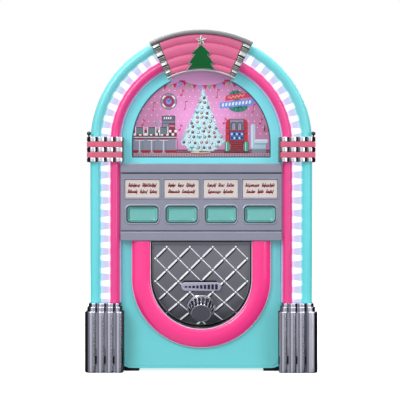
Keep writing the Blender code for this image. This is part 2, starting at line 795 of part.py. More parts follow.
tool(door, [box(-7, 7, Y_BACK - 1.0, Y_BACK + 3, DOOR_Z1 - 6.5, DOOR_Z1 - 2.5)], "DIFFERENCE", "thumb_recess")

# ---------------------------------------------------------------- inlet and power switch
inlet_out = rounded_rect(50, 30, 9.2, 3.4, 1.6, 3)
inlet_in = rounded_rect(50, 30, 8.4, 2.6, 1.25, 3)
make(
    "usb_inlet",
    [
        loft(
            [
                [(x, 44.0, z) for x, z in inlet_out],
                [(x, 53.2, z) for x, z in inlet_out],
                [(x, 53.2, z) for x, z in inlet_in],
                [(x, 46.4, z) for x, z in inlet_in],
            ]
        )
    ],
    STEEL,
)
switch_out = rounded_rect(50, 49.5, 16.0, 8.0, 0.8, 2)
switch_in = rounded_rect(50, 49.5, 12.6, 3.8, 0.3, 2)
make(
    "power_switch",
    [
        loft(
            [
                [(x, 44.0, z) for x, z in switch_out],
                [(x, 51.2, z) for x, z in switch_out],
                [(x, 51.2, z) for x, z in switch_in],
                [(x, 46.6, z) for x, z in switch_in],
            ]
        )
    ],
    BLACK,
)
make("power_slider", [box(44.4, 50.0, 47.0, 53.6, 48.1, 50.9)], WHITE, origin=(47.2, 53.6, 49.5))

# ---------------------------------------------------------------- feet
for name, x0, x1, y0, y1 in (
    ("front_right", 55.8, 69.2, -35.4, -23.4),
    ("front_left", -69.2, -55.8, -35.4, -23.4),
    ("rear_right", 60.0, 76.0, 34.0, 46.0),
    ("rear_left", -76.0, -60.0, 34.0, 46.0),
):
    cx, cy = (x0 + x1) / 2, (y0 + y1) / 2
    loops = []
    for z, k in ((CASE_FLOOR - GAP, 0.0), (0.8, 0.0), (0.0, 0.8)):
        loops.append([(cx + sx * ((x1 - x0) / 2 - k), cy + sy * ((y1 - y0) / 2 - k), z) for sx, sy in ((-1, -1), (1, -1), (1, 1), (-1, 1))])
    make("foot_" + name, [loft(loops)], RUBBER)
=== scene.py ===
"""Looks of the tabletop jukebox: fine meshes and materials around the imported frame.

Lengths are in millimetres until a mesh is made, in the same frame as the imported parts:
+Z up, the front towards -Y, the origin on the floor under the middle of the case.
"""

import math
import random

import bmesh
import bpy
from mathutils import Matrix, Vector
from mathutils.geometry import tessellate_polygon


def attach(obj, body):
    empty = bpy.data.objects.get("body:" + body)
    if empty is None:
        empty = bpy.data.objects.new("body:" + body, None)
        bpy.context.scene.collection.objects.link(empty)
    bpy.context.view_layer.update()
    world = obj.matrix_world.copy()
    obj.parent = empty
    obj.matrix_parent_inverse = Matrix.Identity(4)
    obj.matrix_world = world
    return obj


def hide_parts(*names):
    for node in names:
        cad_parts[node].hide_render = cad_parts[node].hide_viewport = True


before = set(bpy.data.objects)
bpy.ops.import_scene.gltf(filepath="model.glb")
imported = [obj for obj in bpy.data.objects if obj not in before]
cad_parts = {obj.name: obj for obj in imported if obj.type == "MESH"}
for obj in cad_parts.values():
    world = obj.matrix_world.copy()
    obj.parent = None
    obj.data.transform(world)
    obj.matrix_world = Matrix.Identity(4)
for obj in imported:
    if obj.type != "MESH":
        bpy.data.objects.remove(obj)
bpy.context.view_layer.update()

MM = 0.001
GAP = 0.3

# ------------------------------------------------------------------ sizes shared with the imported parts
ARCH_Z = 204.1
R_TUBE_OUT, R_LED_OUT, R_LED_IN, R_PINK_IN = 99.1, 89.6, 81.6, 72.9
BAND_FOOT_Z = 61.8
Y_FACE, Y_SEAT, Y_TUBE, Y_SPLIT, Y_BACK = -36.0, -36.3, -46.0, 2.0, 54.0
CASE_W, CASE_FLOOR, WALL = 98.4, 4.2, 2.4
WIN_R, WIN_Z0 = 62.2, 191.5
PANEL_W, PANEL_Z0, PANEL_Z1, BAR_T = 71.9, 117.0, 186.0, 8.2
Y_PANEL, Y_BAR = -43.0, -44.8
SLOTS = (-52.5, -17.5, 17.5, 52.5)
CARD_W, CARD_H, CARD_Z = 31.4, 16.6, 163.4
KEY_W, KEY_H, KEY_Z = 27.4, 14.4, 140.4
U_Z, U_OUT, U_IN, U_TOP = 83.3, 62.2, 44.8, 116.6
BOW_Z, BOW_K, Y_GRILLE = 95.0, 0.0072, -38.5
KNOB_Z = 58.0
PIL_OUT, PIL_IN, Y_PIL, PIL_BACK = 103.5, 69.0, -54.0, -8.0
PIL_GROOVES = (77.15, 85.05, 93.0)
PIL_Z = (54.3, 58.4, 61.5)
BRK_OUT, BRK_IN, Y_BRK, BRK_BACK = 101.8, 68.9, -50.8, -18.0
BRK_GROOVES = (77.5, 85.5, 93.2)
BRK_BANDS = (187.3, 190.9, 196.3, 200.1, 205.6, 209.5)
CREST_HALF, CREST_BAR, CREST_R0, CREST_R1, Y_CREST = 27.3, 22.8, 64.0, 100.9, -52.5
LOBES = (65.4, 71.2, 79.6, 89.5, 97.0)
POSTS = ((-84.0, 26.0), (84.0, 26.0), (-68.0, 262.0), (68.0, 262.0))


def grille_y(z):
    return Y_GRILLE + BOW_K * max(0.0, BOW_Z - z) ** 2


# ------------------------------------------------------------------ outlines in X and Z
def arc(cx, cz, r, a0, a1, steps):
    out = []
    for i in range(steps + 1):
        a = math.radians(a0 + (a1 - a0) * i / steps)
        out.append((cx + r * math.cos(a), cz + r * math.sin(a)))
    return out


def arch_outline(r, z0, steps=128, corner=0.0):
    line = arc(0, ARCH_Z, r, 0, 180, steps)
    if corner:
        line = arc(r - corner, z0 + corner, corner, -90, 0, 8) + line
        line += arc(-r + corner, z0 + corner, corner, 180, 270, 8)
    else:
        line = [(r, z0)] + line + [(-r, z0)]
    return line


def rounded_rect(cx, cz, w, h, r, steps=8):
    pts = []
    for sx, sz, a in ((1, 1, 0), (-1, 1, 90), (-1, -1, 180), (1, -1, 270)):
        pts += arc(cx + sx * (w / 2 - r), cz + sz * (h / 2 - r), r, a, a + 90, steps)
    return pts


def area(loop):
    return sum(a[0] * b[1] - b[0] * a[1] for a, b in zip(loop, loop[1:] + loop[:1])) / 2


def turn_to(loop, left):
    return list(loop) if (area(loop) > 0) == left else list(loop)[::-1]


def tidy(loop):
    out = []
    for p in loop:
        if not out or math.dist(p, out[-1]) > 1e-3:
            out.append(p)
    if math.dist(out[0], out[-1]) < 1e-3:
        out.pop()
    return out


def inset(loop, d):
    """The loop moved by d to the left of its own direction."""
    if not d:
        return list(loop)
    out, n = [], len(loop)
    for i in range(n):
        (x0, z0), (x1, z1), (x2, z2) = loop[i - 1], loop[i], loop[(i + 1) % n]
        a, b = math.hypot(x1 - x0, z1 - z0), math.hypot(x2 - x1, z2 - z1)
        n1 = (-(z1 - z0) / a, (x1 - x0) / a)
        n2 = (-(z2 - z1) / b, (x2 - x1) / b)
        k = d / max(0.3, 1 + n1[0] * n2[0] + n1[1] * n2[1])
        out.append((x1 + (n1[0] + n2[0]) * k, z1 + (n1[1] + n2[1]) * k))
    return out


def fillet(y, r, back=1, steps=5):
    """(inset, y) steps of a rounded edge that ends on the face at y. back is the way into the solid."""
    out = []
    for i in range(steps + 1):
        a = math.pi / 2 * i / steps
        out.append((r - r * math.cos(a), y + back * (r - r * math.sin(a))))
    return out


# ------------------------------------------------------------------ solids: (points, faces, material of each face)
def plate(outer, holes, profile, hole_profile=None, mat=0, cap=None, rim=None):
    """A flat plate with holes; the profile gives its edge as (inset, y) from its back to its front."""
    loops = [tidy(turn_to(outer, True))] + [tidy(turn_to(h, False)) for h in holes]
    pts, faces, mats, ends = [], [], [], []
    for k, loop in enumerate(loops):
        first = prev = None
        for d, y in profile if k == 0 or hole_profile is None else hole_profile:
            ring = list(range(len(pts), len(pts) + len(loop)))
            pts += [(x, y, z) for x, z in inset(loop, d)]
            if prev is None:
                first = ring
            else:
                n = len(ring)
                for i in range(n):
                    faces.append((prev[i], prev[(i + 1) % n], ring[(i + 1) % n], ring[i]))
                    mats.append(mat if rim is None or k else rim)
            prev = ring
        ends.append((first, prev))
    for which in (0, 1):
        rings = [e[which] for e in ends]
        flat = [i for ring in rings for i in ring]
        tris = tessellate_polygon([[Vector((pts[i][0], pts[i][2], 0.0)) for i in ring] for ring in rings])
        for t in tris:
            faces.append(tuple(flat[i] for i in t))
            mats.append(mat if cap is None or which == 0 else cap)
    return pts, faces, mats


def loft(loops, mat=0, caps=True, ring=False, mats=None):
    """Closed loops with the same number of points, joined in order. mats can name a material for each side."""
    n = len(loops[0])
    pts = [p for loop in loops for p in loop]
    faces, out = [], []
    for i in range(len(loops) if ring else len(loops) - 1):
        k = (i + 1) % len(loops)
        for j in range(n):
            faces.append((i * n + j, i * n + (j + 1) % n, k * n + (j + 1) % n, k * n + j))
            row = mats[i] if mats and isinstance(mats[0], list) else mats
            out.append(row[j] if row else mat)
    if caps and not ring:
        last = (len(loops) - 1) * n
        faces += [tuple(range(n)), tuple(last + n - 1 - j for j in range(n))]
        out += [mat, mat]
    return pts, faces, out


def turned(profile, steps, mat=0, wave=None):
    """A closed profile of (radius, height) turned about local Z. wave(radius, height, angle) changes the radius."""
    loops = []
    for i in range(steps):
        a = 2 * math.pi * i / steps
        loop = []
        for r, h in profile:
            q = wave(r, h, a) if wave else r
            loop.append((q * math.cos(a), q * math.sin(a), h))
        loops.append(loop)
    return loft(loops, mat, ring=True)


def placed(shape, matrix):
    pts, faces, mats = shape
    return [tuple(matrix @ Vector(p)) for p in pts], faces, mats


def turned_y(profile, steps, x, z, mat=0, wave=None):
    pts, faces, mats = turned(profile, steps, mat, wave)
    return [(x + p[0], p[2], z + p[1]) for p in pts], faces, mats


def mirrored(shape):
    pts, faces, mats = shape
    return [(-x, y, z) for x, y, z in pts], faces, mats


def box(x0, x1, y0, y1, z0, z1, mat=0, r=0.0):
    """A block whose four long edges along Y and whose front and back rims are rounded by r."""
    if not r:
        line = [(x0, z0), (x1, z0), (x1, z1), (x0, z1)]
        return loft([[(x, y, z) for x, z in line] for y in (y0, y1)], mat)
    line = rounded_rect((x0 + x1) / 2, (z0 + z1) / 2, x1 - x0, z1 - z0, r * 1.2, 4)
    back = [(d, y) for d, y in fillet(y1, r, -1, 3)][::-1]
    return plate(line, [], back + fillet(y0, r, 1, 3), mat=mat)


def arch_frames(foot_z, steps=144, legs=1):
    """Stations up the left leg, round the arch and down the right one: (x, z, ux, uz)."""
    out = [(0.0, foot_z + (ARCH_Z - foot_z) * i / legs, -1.0, 0.0) for i in range(legs)]
    for i in range(steps + 1):
        a = math.pi * (1 - i / steps)
        out.append((0.0, ARCH_Z, math.cos(a), math.sin(a)))
    return out + [(0.0, foot_z + (ARCH_Z - foot_z) * (legs - 1 - i) / legs, 1.0, 0.0) for i in range(legs)]


def u_frames(top_z, steps=112):
    out = [(0.0, top_z, -1.0, 0.0)]
    for i in range(steps + 1):
        a = math.pi * (1 + i / steps)
        out.append((0.0, U_Z, math.cos(a), math.sin(a)))
    return out + [(0.0, top_z, 1.0, 0.0)]


def sector_frames(a0, a1, steps):
    """Stations round the top of the arch, between two angles either side of straight up."""
    out = []
    for i in range(steps + 1):
        a = math.radians(90 - a0 - (a1 - a0) * i / steps)
        out.append((0.0, ARCH_Z, math.cos(a), math.sin(a)))
    return out


def swept(profile, frames, mat=0, mats=None):
    return loft([[(x + r * ux, y, z + r * uz) for r, y in profile] for x, z, ux, uz in frames], mat, mats=mats)


def tube_path(points, radius, sides=8, mat=0):
    """A round wire through points."""
    loops = []
    for i, p in enumerate(points):
        a, b = Vector(points[max(0, i - 1)]), Vector(points[min(len(points) - 1, i + 1)])
        t = (b - a).normalized()
        u = t.cross(Vector((0.0, 1.0, 0.0)))
        if u.length < 0.1:
            u = t.cross(Vector((0.0, 0.0, 1.0)))
        u.normalize()
        v = t.cross(u)
        q = Vector(p)
        loops.append([tuple(q + (u * math.cos(2 * math.pi * k / sides) + v * math.sin(2 * math.pi * k / sides)) * radius) for k in range(sides)])
    return loft(loops, mat)


# ------------------------------------------------------------------ pieces
def piece(name, shapes, mats, body="case", stands_for=(), sharp=32, weighted=True, smooth=True):
    """One visible piece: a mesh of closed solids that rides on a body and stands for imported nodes."""
    me = bpy.data.meshes.new(name)
    whole = bmesh.new()
    for pts, faces, which in shapes:
        bm = bmesh.new()
        vs = [bm.verts.new([c * MM for c in p]) for p in pts]
        for f, m in zip(faces, which):
            if len(set(f)) > 2:
                face = bm.faces.new([vs[i] for i in f])
                face.material_index = m
        bmesh.ops.remove_doubles(bm, verts=bm.verts, dist=2e-7)
        bmesh.ops.dissolve_degenerate(bm, edges=bm.edges, dist=1e-7)
        bmesh.ops.recalc_face_normals(bm, faces=bm.faces)
        part = bpy.data.meshes.new("part")
        bm.to_mesh(part)
        bm.free()
        whole.from_mesh(part)
        bpy.data.meshes.remove(part)
    whole.to_mesh(me)
    whole.free()
    for m in mats:
        me.materials.append(m)
    if smooth:
        me.shade_smooth()
        me.set_sharp_from_angle(angle=math.radians(sharp))
    obj = bpy.data.objects.new(name, me)
    bpy.context.scene.collection.objects.link(obj)
    if weighted and smooth:
        w = obj.modifiers.new("normals", "WEIGHTED_NORMAL")
        w.keep_sharp = True
        w.weight = 60
    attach(obj, body)
    if stands_for:
        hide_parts(*stands_for)
    return obj


# ------------------------------------------------------------------ materials
def linear(rgb):
    out = []
    for v in rgb:
        c = v / 255
        out.append(c / 12.92 if c <= 0.04045 else ((c + 0.055) / 1.055) ** 2.4)
    return (*out, 1.0)


def nodes_of(mat):
    return mat.node_tree.nodes, mat.node_tree.links


def noise(nt, scale, detail=3.0, rough=0.55, coords=None):
    n = nt.nodes.new("ShaderNodeTexNoise")
    n.inputs["Scale"].default_value = scale
    n.inputs["Detail"].default_value = detail
    n.inputs["Roughness"].default_value = rough
    if coords is None:
        coords = nt.nodes.new("ShaderNodeTexCoord").outputs["Object"]
    nt.links.new(coords, n.inputs["Vector"])
    return n


def finish_of(name, rgb, rough=0.35, metal=0.0, vary=0.05, vary_scale=60.0, rough_span=0.02, rough_scale=220.0,
              bump=0.04, bump_scale=1400.0, coat=0.0, spec=0.5, glow=0.0, glow_rgb=None, edge=0.0, edge_highlight_rgb=None,
              stretch=None, aniso=0.0, subsurface=0.0):
    """A moulded, plated or painted surface: slow colour drift, uneven gloss and a fine skin. edge lightens sharp convex
    edges, a painted highlight; glow gives a part that is no lamp a faint emission, painted light.
    """
    m = bpy.data.materials.new(name)
    m.use_nodes = True
    nt = m.node_tree
    p = nt.nodes["Principled BSDF"]
    coords = nt.nodes.new("ShaderNodeTexCoord").outputs["Object"]
    if stretch:
        mp = nt.nodes.new("ShaderNodeMapping")
        mp.inputs["Scale"].default_value = stretch
        nt.links.new(coords, mp.inputs["Vector"])
        grain_coords = mp.outputs["Vector"]
    else:
        grain_coords = coords
    base = linear(rgb)
    drift = noise(nt, vary_scale, 4.0, 0.6, coords)
    ramp = nt.nodes.new("ShaderNodeValToRGB")
    ramp.color_ramp.elements[0].position = 0.3
    ramp.color_ramp.elements[1].position = 0.7
    ramp.color_ramp.elements[0].color = (*[c * (1 - vary) for c in base[:3]], 1.0)
    ramp.color_ramp.elements[1].color = (*[min(1.0, c * (1 + vary)) for c in base[:3]], 1.0)
    nt.links.new(drift.outputs["Fac"], ramp.inputs["Fac"])
    colour = ramp.outputs["Color"]
    # painted highlight: convex edges, found by pointiness, are lightened towards a paler edge colour
    if edge:
        geo = nt.nodes.new("ShaderNodeNewGeometry")
        span = nt.nodes.new("ShaderNodeMapRange")
        span.inputs["From Min"].default_value = 0.52
        span.inputs["From Max"].default_value = 0.6
        span.inputs["To Max"].default_value = edge
        nt.links.new(geo.outputs["Pointiness"], span.inputs["Value"])
        mix = nt.nodes.new("ShaderNodeMix")
        mix.data_type = "RGBA"
        nt.links.new(span.outputs["Result"], mix.inputs["Factor"])
        nt.links.new(colour, mix.inputs[6])
        mix.inputs[7].default_value = linear(edge_highlight_rgb or [min(255, c + 50) for c in rgb])
        colour = mix.outputs[2]
    nt.links.new(colour, p.inputs["Base Color"])
    gloss = noise(nt, rough_scale, 3.0, 0.6, grain_coords)
    span = nt.nodes.new("ShaderNodeMapRange")
    span.inputs["From Min"].default_value = 0.3
    span.inputs["From Max"].default_value = 0.7
    span.inputs["To Min"].default_value = max(0.02, rough - rough_span)
    span.inputs["To Max"].default_value = min(1.0, rough + rough_span)
    nt.links.new(gloss.outputs["Fac"], span.inputs["Value"])
    nt.links.new(span.outputs["Result"], p.inputs["Roughness"])
    if bump:
        skin = noise(nt, bump_scale, 2.0, 0.5, grain_coords)
        b = nt.nodes.new("ShaderNodeBump")
        b.inputs["Strength"].default_value = bump
        b.inputs["Distance"].default_value = 0.0004
        nt.links.new(skin.outputs["Fac"], b.inputs["Height"])
        nt.links.new(b.outputs["Normal"], p.inputs["Normal"])
    p.inputs["Metallic"].default_value = metal
    p.inputs["Specular IOR Level"].default_value = spec
    p.inputs["Coat Weight"].default_value = coat
    p.inputs["Coat Roughness"].default_value = 0.06
    if aniso:
        p.inputs["Anisotropic"].default_value = aniso
    if subsurface:
        p.inputs["Subsurface Weight"].default_value = subsurface
        p.inputs["Subsurface Radius"].default_value = (0.004, 0.003, 0.003)
    # painted light: a faint emission so that a part which is no lamp looks lit
    if glow:
        p.inputs["Emission Color"].default_value = linear(glow_rgb or rgb)
        p.inputs["Emission Strength"].default_value = glow
    m.diffuse_color = base
    return m


# painted light in this palette: the glow on plastics, ribs and ridges stands in for light bounced round the studio, and
# edge paints a highlight on sharp edges
TEAL = finish_of("teal_gloss", (112, 214, 218), 0.22, vary=0.02, bump=0.02, coat=0.35, edge=0.25, edge_highlight_rgb=(150, 235, 240), glow=0.10, glow_rgb=(110, 214, 212))
TEAL_LIT = finish_of("teal_lit", (116, 216, 222), 0.22, vary=0.02, bump=0.02, coat=0.35, edge=0.25, edge_highlight_rgb=(160, 240, 246), glow=0.24, glow_rgb=(120, 214, 224))
TEAL_EDGE = finish_of("teal_edge", (110, 214, 226), 0.5, vary=0.02, bump=0.0, spec=0.15, glow=0.03, glow_rgb=(110, 214, 226))
TEAL_RIM_HIGHLIGHT = finish_of("teal_rim_highlight", (176, 240, 244), 0.18, vary=0.02, bump=0.0, coat=0.6, glow=0.16, glow_rgb=(190, 240, 246))
TEAL_BACK = finish_of("teal_textured", (100, 198, 206), 0.42, vary=0.03, bump=0.16, bump_scale=2600.0, edge=0.2)
TEAL_TUBE = finish_of("teal_tube", (94, 208, 214), 0.34, vary=0.02, bump=0.0, coat=0.5, glow=0.19, glow_rgb=(114, 226, 232))
ARCH_TUBE_SHEEN = finish_of("arch_tube_sheen", (106, 205, 209), 0.34, vary=0.02, bump=0.0, coat=0.5, glow=0.18, glow_rgb=(120, 222, 226))
PINK_TUBE = finish_of("pink_tube", (234, 60, 138), 0.34, vary=0.03, bump=0.0, coat=0.4, glow=0.13, glow_rgb=(244, 70, 150))
PALE_LIP_HIGHLIGHT = finish_of("tube_lip_highlight", (214, 190, 226), 0.5, vary=0.03, bump=0.02, glow=0.2)
HOT_PINK = finish_of("hot_pink", (255, 54, 139), 0.24, vary=0.015, bump=0.0, coat=0.5, glow=0.12, glow_rgb=(255, 60, 150))
PALE_TRIM_HIGHLIGHT = finish_of("pale_trim_highlight", (236, 214, 236), 0.2, vary=0.02, bump=0.02, coat=0.4)
CHROME = finish_of("chrome", (222, 222, 228), 0.1, 1.0, vary=0.03, rough_span=0.01, bump=0.0)
# painted reflection: a shaded copy of the chrome
CHROME_FLANK_SHADE = finish_of("chrome_flank_painted_shade", (112, 112, 118), 0.16, 1.0, vary=0.03, rough_span=0.01, bump=0.0)
# painted reflection: a dark copy of the chrome
CHROME_DARK_REFLECTION = finish_of("chrome_painted_dark_reflection", (78, 78, 84), 0.12, 1.0, vary=0.04, rough_span=0.01, bump=0.0)
# painted shadow: near-black for shade and dark reflection painted into grooves and along edges
PAINTED_SHADOW = finish_of("groove_shadow", (14, 14, 17), 0.5, vary=0.1, bump=0.03, spec=0.2)
SATIN = finish_of("satin_chrome", (148, 148, 149), 0.4, 0.55, vary=0.03, rough_span=0.06, bump=0.02)
PLATED = finish_of("plated_plastic", (222, 223, 235), 0.2, 1.0, vary=0.03, rough_span=0.01, bump=0.0)
# painted reflection: shaded and ridge-lit copies of the plating
PLATED_FLANK_SHADE = finish_of("plated_flank_painted_shade", (134, 135, 149), 0.3, 1.0, vary=0.03, rough_span=0.01, bump=0.0)
PLATED_RIDGE_HIGHLIGHT = finish_of("plated_ridge_painted_highlight", (236, 237, 244), 0.3, 1.0, vary=0.03, rough_span=0.01, bump=0.0, glow=0.05)
BAR_WHITE = finish_of("bar_bright", (202, 202, 200), 0.3, 0.5, vary=0.02, bump=0.0)
BAR_GREY_REFLECTION = finish_of("bar_grey_painted_reflection", (206, 206, 202), 0.3, 0.6, vary=0.03, bump=0.0)
STAR_LIT = finish_of("star_lit", (236, 236, 232), 0.3, 0.2, vary=0.02, bump=0.0, glow=0.12)
STAR_DIM = finish_of("star_dim", (64, 64, 66), 0.3, 0.3, vary=0.03, bump=0.0)
BAR_DARK_REFLECTION = finish_of("bar_dark_painted_reflection", (76, 76, 74), 0.3, 0.6, vary=0.03, bump=0.0)
CREST_PINK = finish_of("crest_pink", (222, 104, 146), 0.36, vary=0.05, bump=0.03, coat=0.15)
BAND_PINK = finish_of("band_pink", (226, 98, 130), 0.34, vary=0.05, bump=0.03, coat=0.15)
TREE_GREEN = finish_of("tree_green", (10, 92, 44), 0.45, vary=0.06, bump=0.03, spec=0.15)
SILVER = finish_of("silver_paint", (156, 158, 175), 0.34, 0.35, vary=0.03, rough_span=0.0, bump=0.0)
GROOVE_SHADE = finish_of("panel_groove_painted_shade", (84, 85, 98), 0.5, 0.2, vary=0.05, bump=0.04)
CARD = finish_of("card_stock", (226, 215, 210), 0.78, vary=0.03, vary_scale=300.0, bump=0.04, bump_scale=4200.0, spec=0.3)
CARD_INK = finish_of("card_ink", (122, 4, 26), 0.8, vary=0.05, vary_scale=900.0, bump=0.0, spec=0.1)
KEY_TEAL = finish_of("key_teal", (116, 192, 186), 0.2, vary=0.04, bump=0.0, coat=0.4, glow=0.05)
KEY_SHADE = finish_of("key_slope", (82, 146, 140), 0.3, vary=0.04, bump=0.0, coat=0.2)
GRILLE = finish_of("grille_plating", (124, 124, 132), 0.38, 0.35, vary=0.03, rough_span=0.06, bump=0.03)
RIB_HIGHLIGHT = finish_of("grille_rib_painted_highlight", (240, 240, 244), 0.3, 0.2, vary=0.02, bump=0.0, glow=0.3)
LINER = finish_of("liner_chrome", (128, 128, 136), 0.3, 0.7, vary=0.03, bump=0.0)
KNOB_DARK_REFLECTION = finish_of("knob_scallop_painted_dark", (52, 52, 57), 0.16, 1.0, vary=0.04, rough_span=0.01, bump=0.0)
KNOB_FACE = finish_of("knob_face", (92, 93, 103), 0.42, 0.2, vary=0.04, bump=0.05)
LILAC = finish_of("lilac_plate", (188, 187, 208), 0.26, 0.1, vary=0.03, bump=0.03, coat=0.3)
NAVY = finish_of("plate_ink", (34, 30, 58), 0.45, vary=0.1, bump=0.03)
BLACK = finish_of("black_plastic", (26, 26, 28), 0.45, vary=0.12, bump=0.12, bump_scale=2400.0)
RUBBER = finish_of("rubber", (12, 12, 13), 0.8, vary=0.1, bump=0.22, bump_scale=1800.0, spec=0.3)
STEEL = finish_of("screw_steel", (150, 150, 154), 0.28, 1.0, vary=0.05, bump=0.03)
SPRING = finish_of("contact_nickel", (200, 196, 186), 0.22, 1.0, vary=0.05, bump=0.03)
WHITE = finish_of("white_plastic", (236, 236, 236), 0.42, vary=0.03, bump=0.05)
BOARD = finish_of("circuit_board", (26, 104, 58), 0.42, vary=0.12, vary_scale=420.0, bump=0.1)
BASKET = finish_of("speaker_steel", (62, 64, 68), 0.38, 0.9, vary=0.05, bump=0.04)
PAPER = finish_of("speaker_paper", (38, 38, 40), 0.85, vary=0.12, vary_scale=700.0, bump=0.25, bump_scale=2600.0)
CELL_GOLD = finish_of("cell_sleeve_gold", (196, 150, 60), 0.28, 0.6, vary=0.04, bump=0.02, coat=0.3)
CELL_DARK = finish_of("cell_sleeve_dark", (38, 38, 44), 0.3, 0.2, vary=0.06, bump=0.02, coat=0.3)


def lit_band():
    """Milky diffuser lit from behind: bright patches with lavender and blue-grey between, laid along UV."""
    m = bpy.data.materials.new("lit_diffuser")
    m.use_nodes = True
    nt = m.node_tree
    p = nt.nodes["Principled BSDF"]
    uv = nt.nodes.new("ShaderNodeUVMap")
    uv.uv_map = "along"
    sep = nt.nodes.new("ShaderNodeSeparateXYZ")
    nt.links.new(uv.outputs["UV"], sep.inputs["Vector"])

    def math_node(op, a, b=None, c=None):
        n = nt.nodes.new("ShaderNodeMath")
        n.operation = op
        for k, v in enumerate((a, b, c)):
            if v is None:
                continue
            if isinstance(v, (int, float)):
                n.inputs[k].default_value = v
            else:
                nt.links.new(v, n.inputs[k])
        return n.outputs[0]

    phase = math_node("FRACT", sep.outputs["X"])
    away = math_node("ABSOLUTE", math_node("SUBTRACT", phase, 0.5))
    half = math_node("MULTIPLY_ADD", sep.outputs["Y"], -0.075, 0.255)
    over = math_node("SUBTRACT", half, away)
    span = nt.nodes.new("ShaderNodeMapRange")
    span.interpolation_type = "SMOOTHSTEP"
    span.inputs["From Min"].default_value = -0.045
    span.inputs["From Max"].default_value = 0.045
    nt.links.new(over, span.inputs["Value"])
    across = nt.nodes.new("ShaderNodeValToRGB")
    across.color_ramp.elements[0].position = 0.06
    across.color_ramp.elements[0].color = linear((246, 226, 252))
    across.color_ramp.elements[1].position = 1.0
    across.color_ramp.elements[1].color = linear((196, 226, 238))
    e = across.color_ramp.elements.new(0.22)
    e.color = linear((204, 190, 240))
    e = across.color_ramp.elements.new(0.72)
    e.color = linear((186, 200, 230))
    nt.links.new(sep.outputs["Y"], across.inputs["Fac"])
    mix = nt.nodes.new("ShaderNodeMix")
    mix.data_type = "RGBA"
    nt.links.new(span.outputs["Result"], mix.inputs["Factor"])
    nt.links.new(across.outputs["Color"], mix.inputs[6])
    mix.inputs[7].default_value = (1.25, 1.25, 1.3, 1.0)
    nt.links.new(mix.outputs[2], p.inputs["Emission Color"])
    p.inputs["Emission Strength"].default_value = 0.86
    p.inputs["Base Color"].default_value = linear((120, 120, 128))
    skin = noise(nt, 900.0)
    b = nt.nodes.new("ShaderNodeBump")
    b.inputs["Strength"].default_value = 0.05
    b.inputs["Distance"].default_value = 0.0003
    nt.links.new(skin.outputs["Fac"], b.inputs["Height"])
    nt.links.new(b.outputs["Normal"], p.inputs["Normal"])
    p.inputs["Roughness"].default_value = 0.3
    return m


def printed_film():
    """Backlit print: inks from the colour attribute, brightest where the lamp sits behind it."""
    m = bpy.data.materials.new("printed_film")
    m.use_nodes = True
    nt = m.node_tree
    p = nt.nodes["Principled BSDF"]
    ink = nt.nodes.new("ShaderNodeAttribute")
    ink.attribute_name = "ink"
    coords = nt.nodes.new("ShaderNodeTexCoord").outputs["Object"]
    grain = noise(nt, 1500.0, 2.0, 0.5, coords)
    span = nt.nodes.new("ShaderNodeMapRange")
    span.inputs["To Min"].default_value = 0.9
    span.inputs["To Max"].default_value = 1.08
    nt.links.new(grain.outputs["Fac"], span.inputs["Value"])
    far = nt.nodes.new("ShaderNodeVectorMath")
    far.operation = "DISTANCE"
    far.inputs[1].default_value = (-0.009, -0.0332, 0.232)
    nt.links.new(coords, far.inputs[0])
    lamp = nt.nodes.new("ShaderNodeMapRange")
    lamp.interpolation_type = "SMOOTHSTEP"
    lamp.inputs["From Min"].default_value = 0.004
    lamp.inputs["From Max"].default_value = 0.062
    lamp.inputs["To Min"].default_value = 1.25
    lamp.inputs["To Max"].default_value = 0.55
    nt.links.new(far.outputs["Value"], lamp.inputs["Value"])
    k = nt.nodes.new("ShaderNodeMath")
    k.operation = "MULTIPLY"
    nt.links.new(span.outputs["Result"], k.inputs[0])
    nt.links.new(lamp.outputs["Result"], k.inputs[1])
    glow = nt.nodes.new("ShaderNodeVectorMath")
    glow.operation = "SCALE"
    nt.links.new(ink.outputs["Color"], glow.inputs[0])
    nt.links.new(k.outputs[0], glow.inputs["Scale"])
    nt.links.new(ink.outputs["Color"], p.inputs["Base Color"])
    nt.links.new(glow.outputs["Vector"], p.inputs["Emission Color"])
    p.inputs["Emission Strength"].default_value = 0.36
    p.inputs["Roughness"].default_value = 0.5
    return m


def clear_sheet():
    """Thin clear acrylic: mostly see-through, with a little gloss."""
    m = bpy.data.materials.new("clear_acrylic")
    m.use_nodes = True
    nt = m.node_tree
    p = nt.nodes["Principled BSDF"]
    p.inputs["Base Color"].default_value = linear((24, 28, 32))
    p.inputs["Roughness"].default_value = 0.04
    out = nt.nodes["Material Output"]
    see = nt.nodes.new("ShaderNodeBsdfTransparent")
    mix = nt.nodes.new("ShaderNodeMixShader")
    mix.inputs["Fac"].default_value = 0.06
    nt.links.new(see.outputs[0], mix.inputs[1])
    nt.links.new(p.outputs[0], mix.inputs[2])
    nt.links.new(mix.outputs[0], out.inputs["Surface"])
    haze = noise(nt, 90.0)
    span = nt.nodes.new("ShaderNodeMapRange")
    span.inputs["To Min"].default_value = 0.02
    span.inputs["To Max"].default_value = 0.08
    nt.links.new(haze.outputs["Fac"], span.inputs["Value"])
    nt.links.new(span.outputs["Result"], p.inputs["Roughness"])
    return m


LIT = lit_band()
FILM = printed_film()
CLEAR = clear_sheet()

# ------------------------------------------------------------------ camera, floor and studio
cam_data = bpy.data.cameras.new("camera")
cam = bpy.data.objects.new("camera", cam_data)
bpy.context.scene.collection.objects.link(cam)
cam.location = (0.0105, -1.504, 0.160)
cam.rotation_euler = (math.radians(90), 0, math.radians(0.4))
cam_data.sensor_width = 36.0
cam_data.lens = 147.3
cam_data.shift_x = -0.0038
cam_data.shift_y = -0.0185
cam_data.clip_start, cam_data.clip_end = 0.05, 100
bpy.context.scene.camera = cam

view = bpy.context.scene.view_settings
view.view_transform = "Standard"
view.look = "None"
view.exposure = 0.0


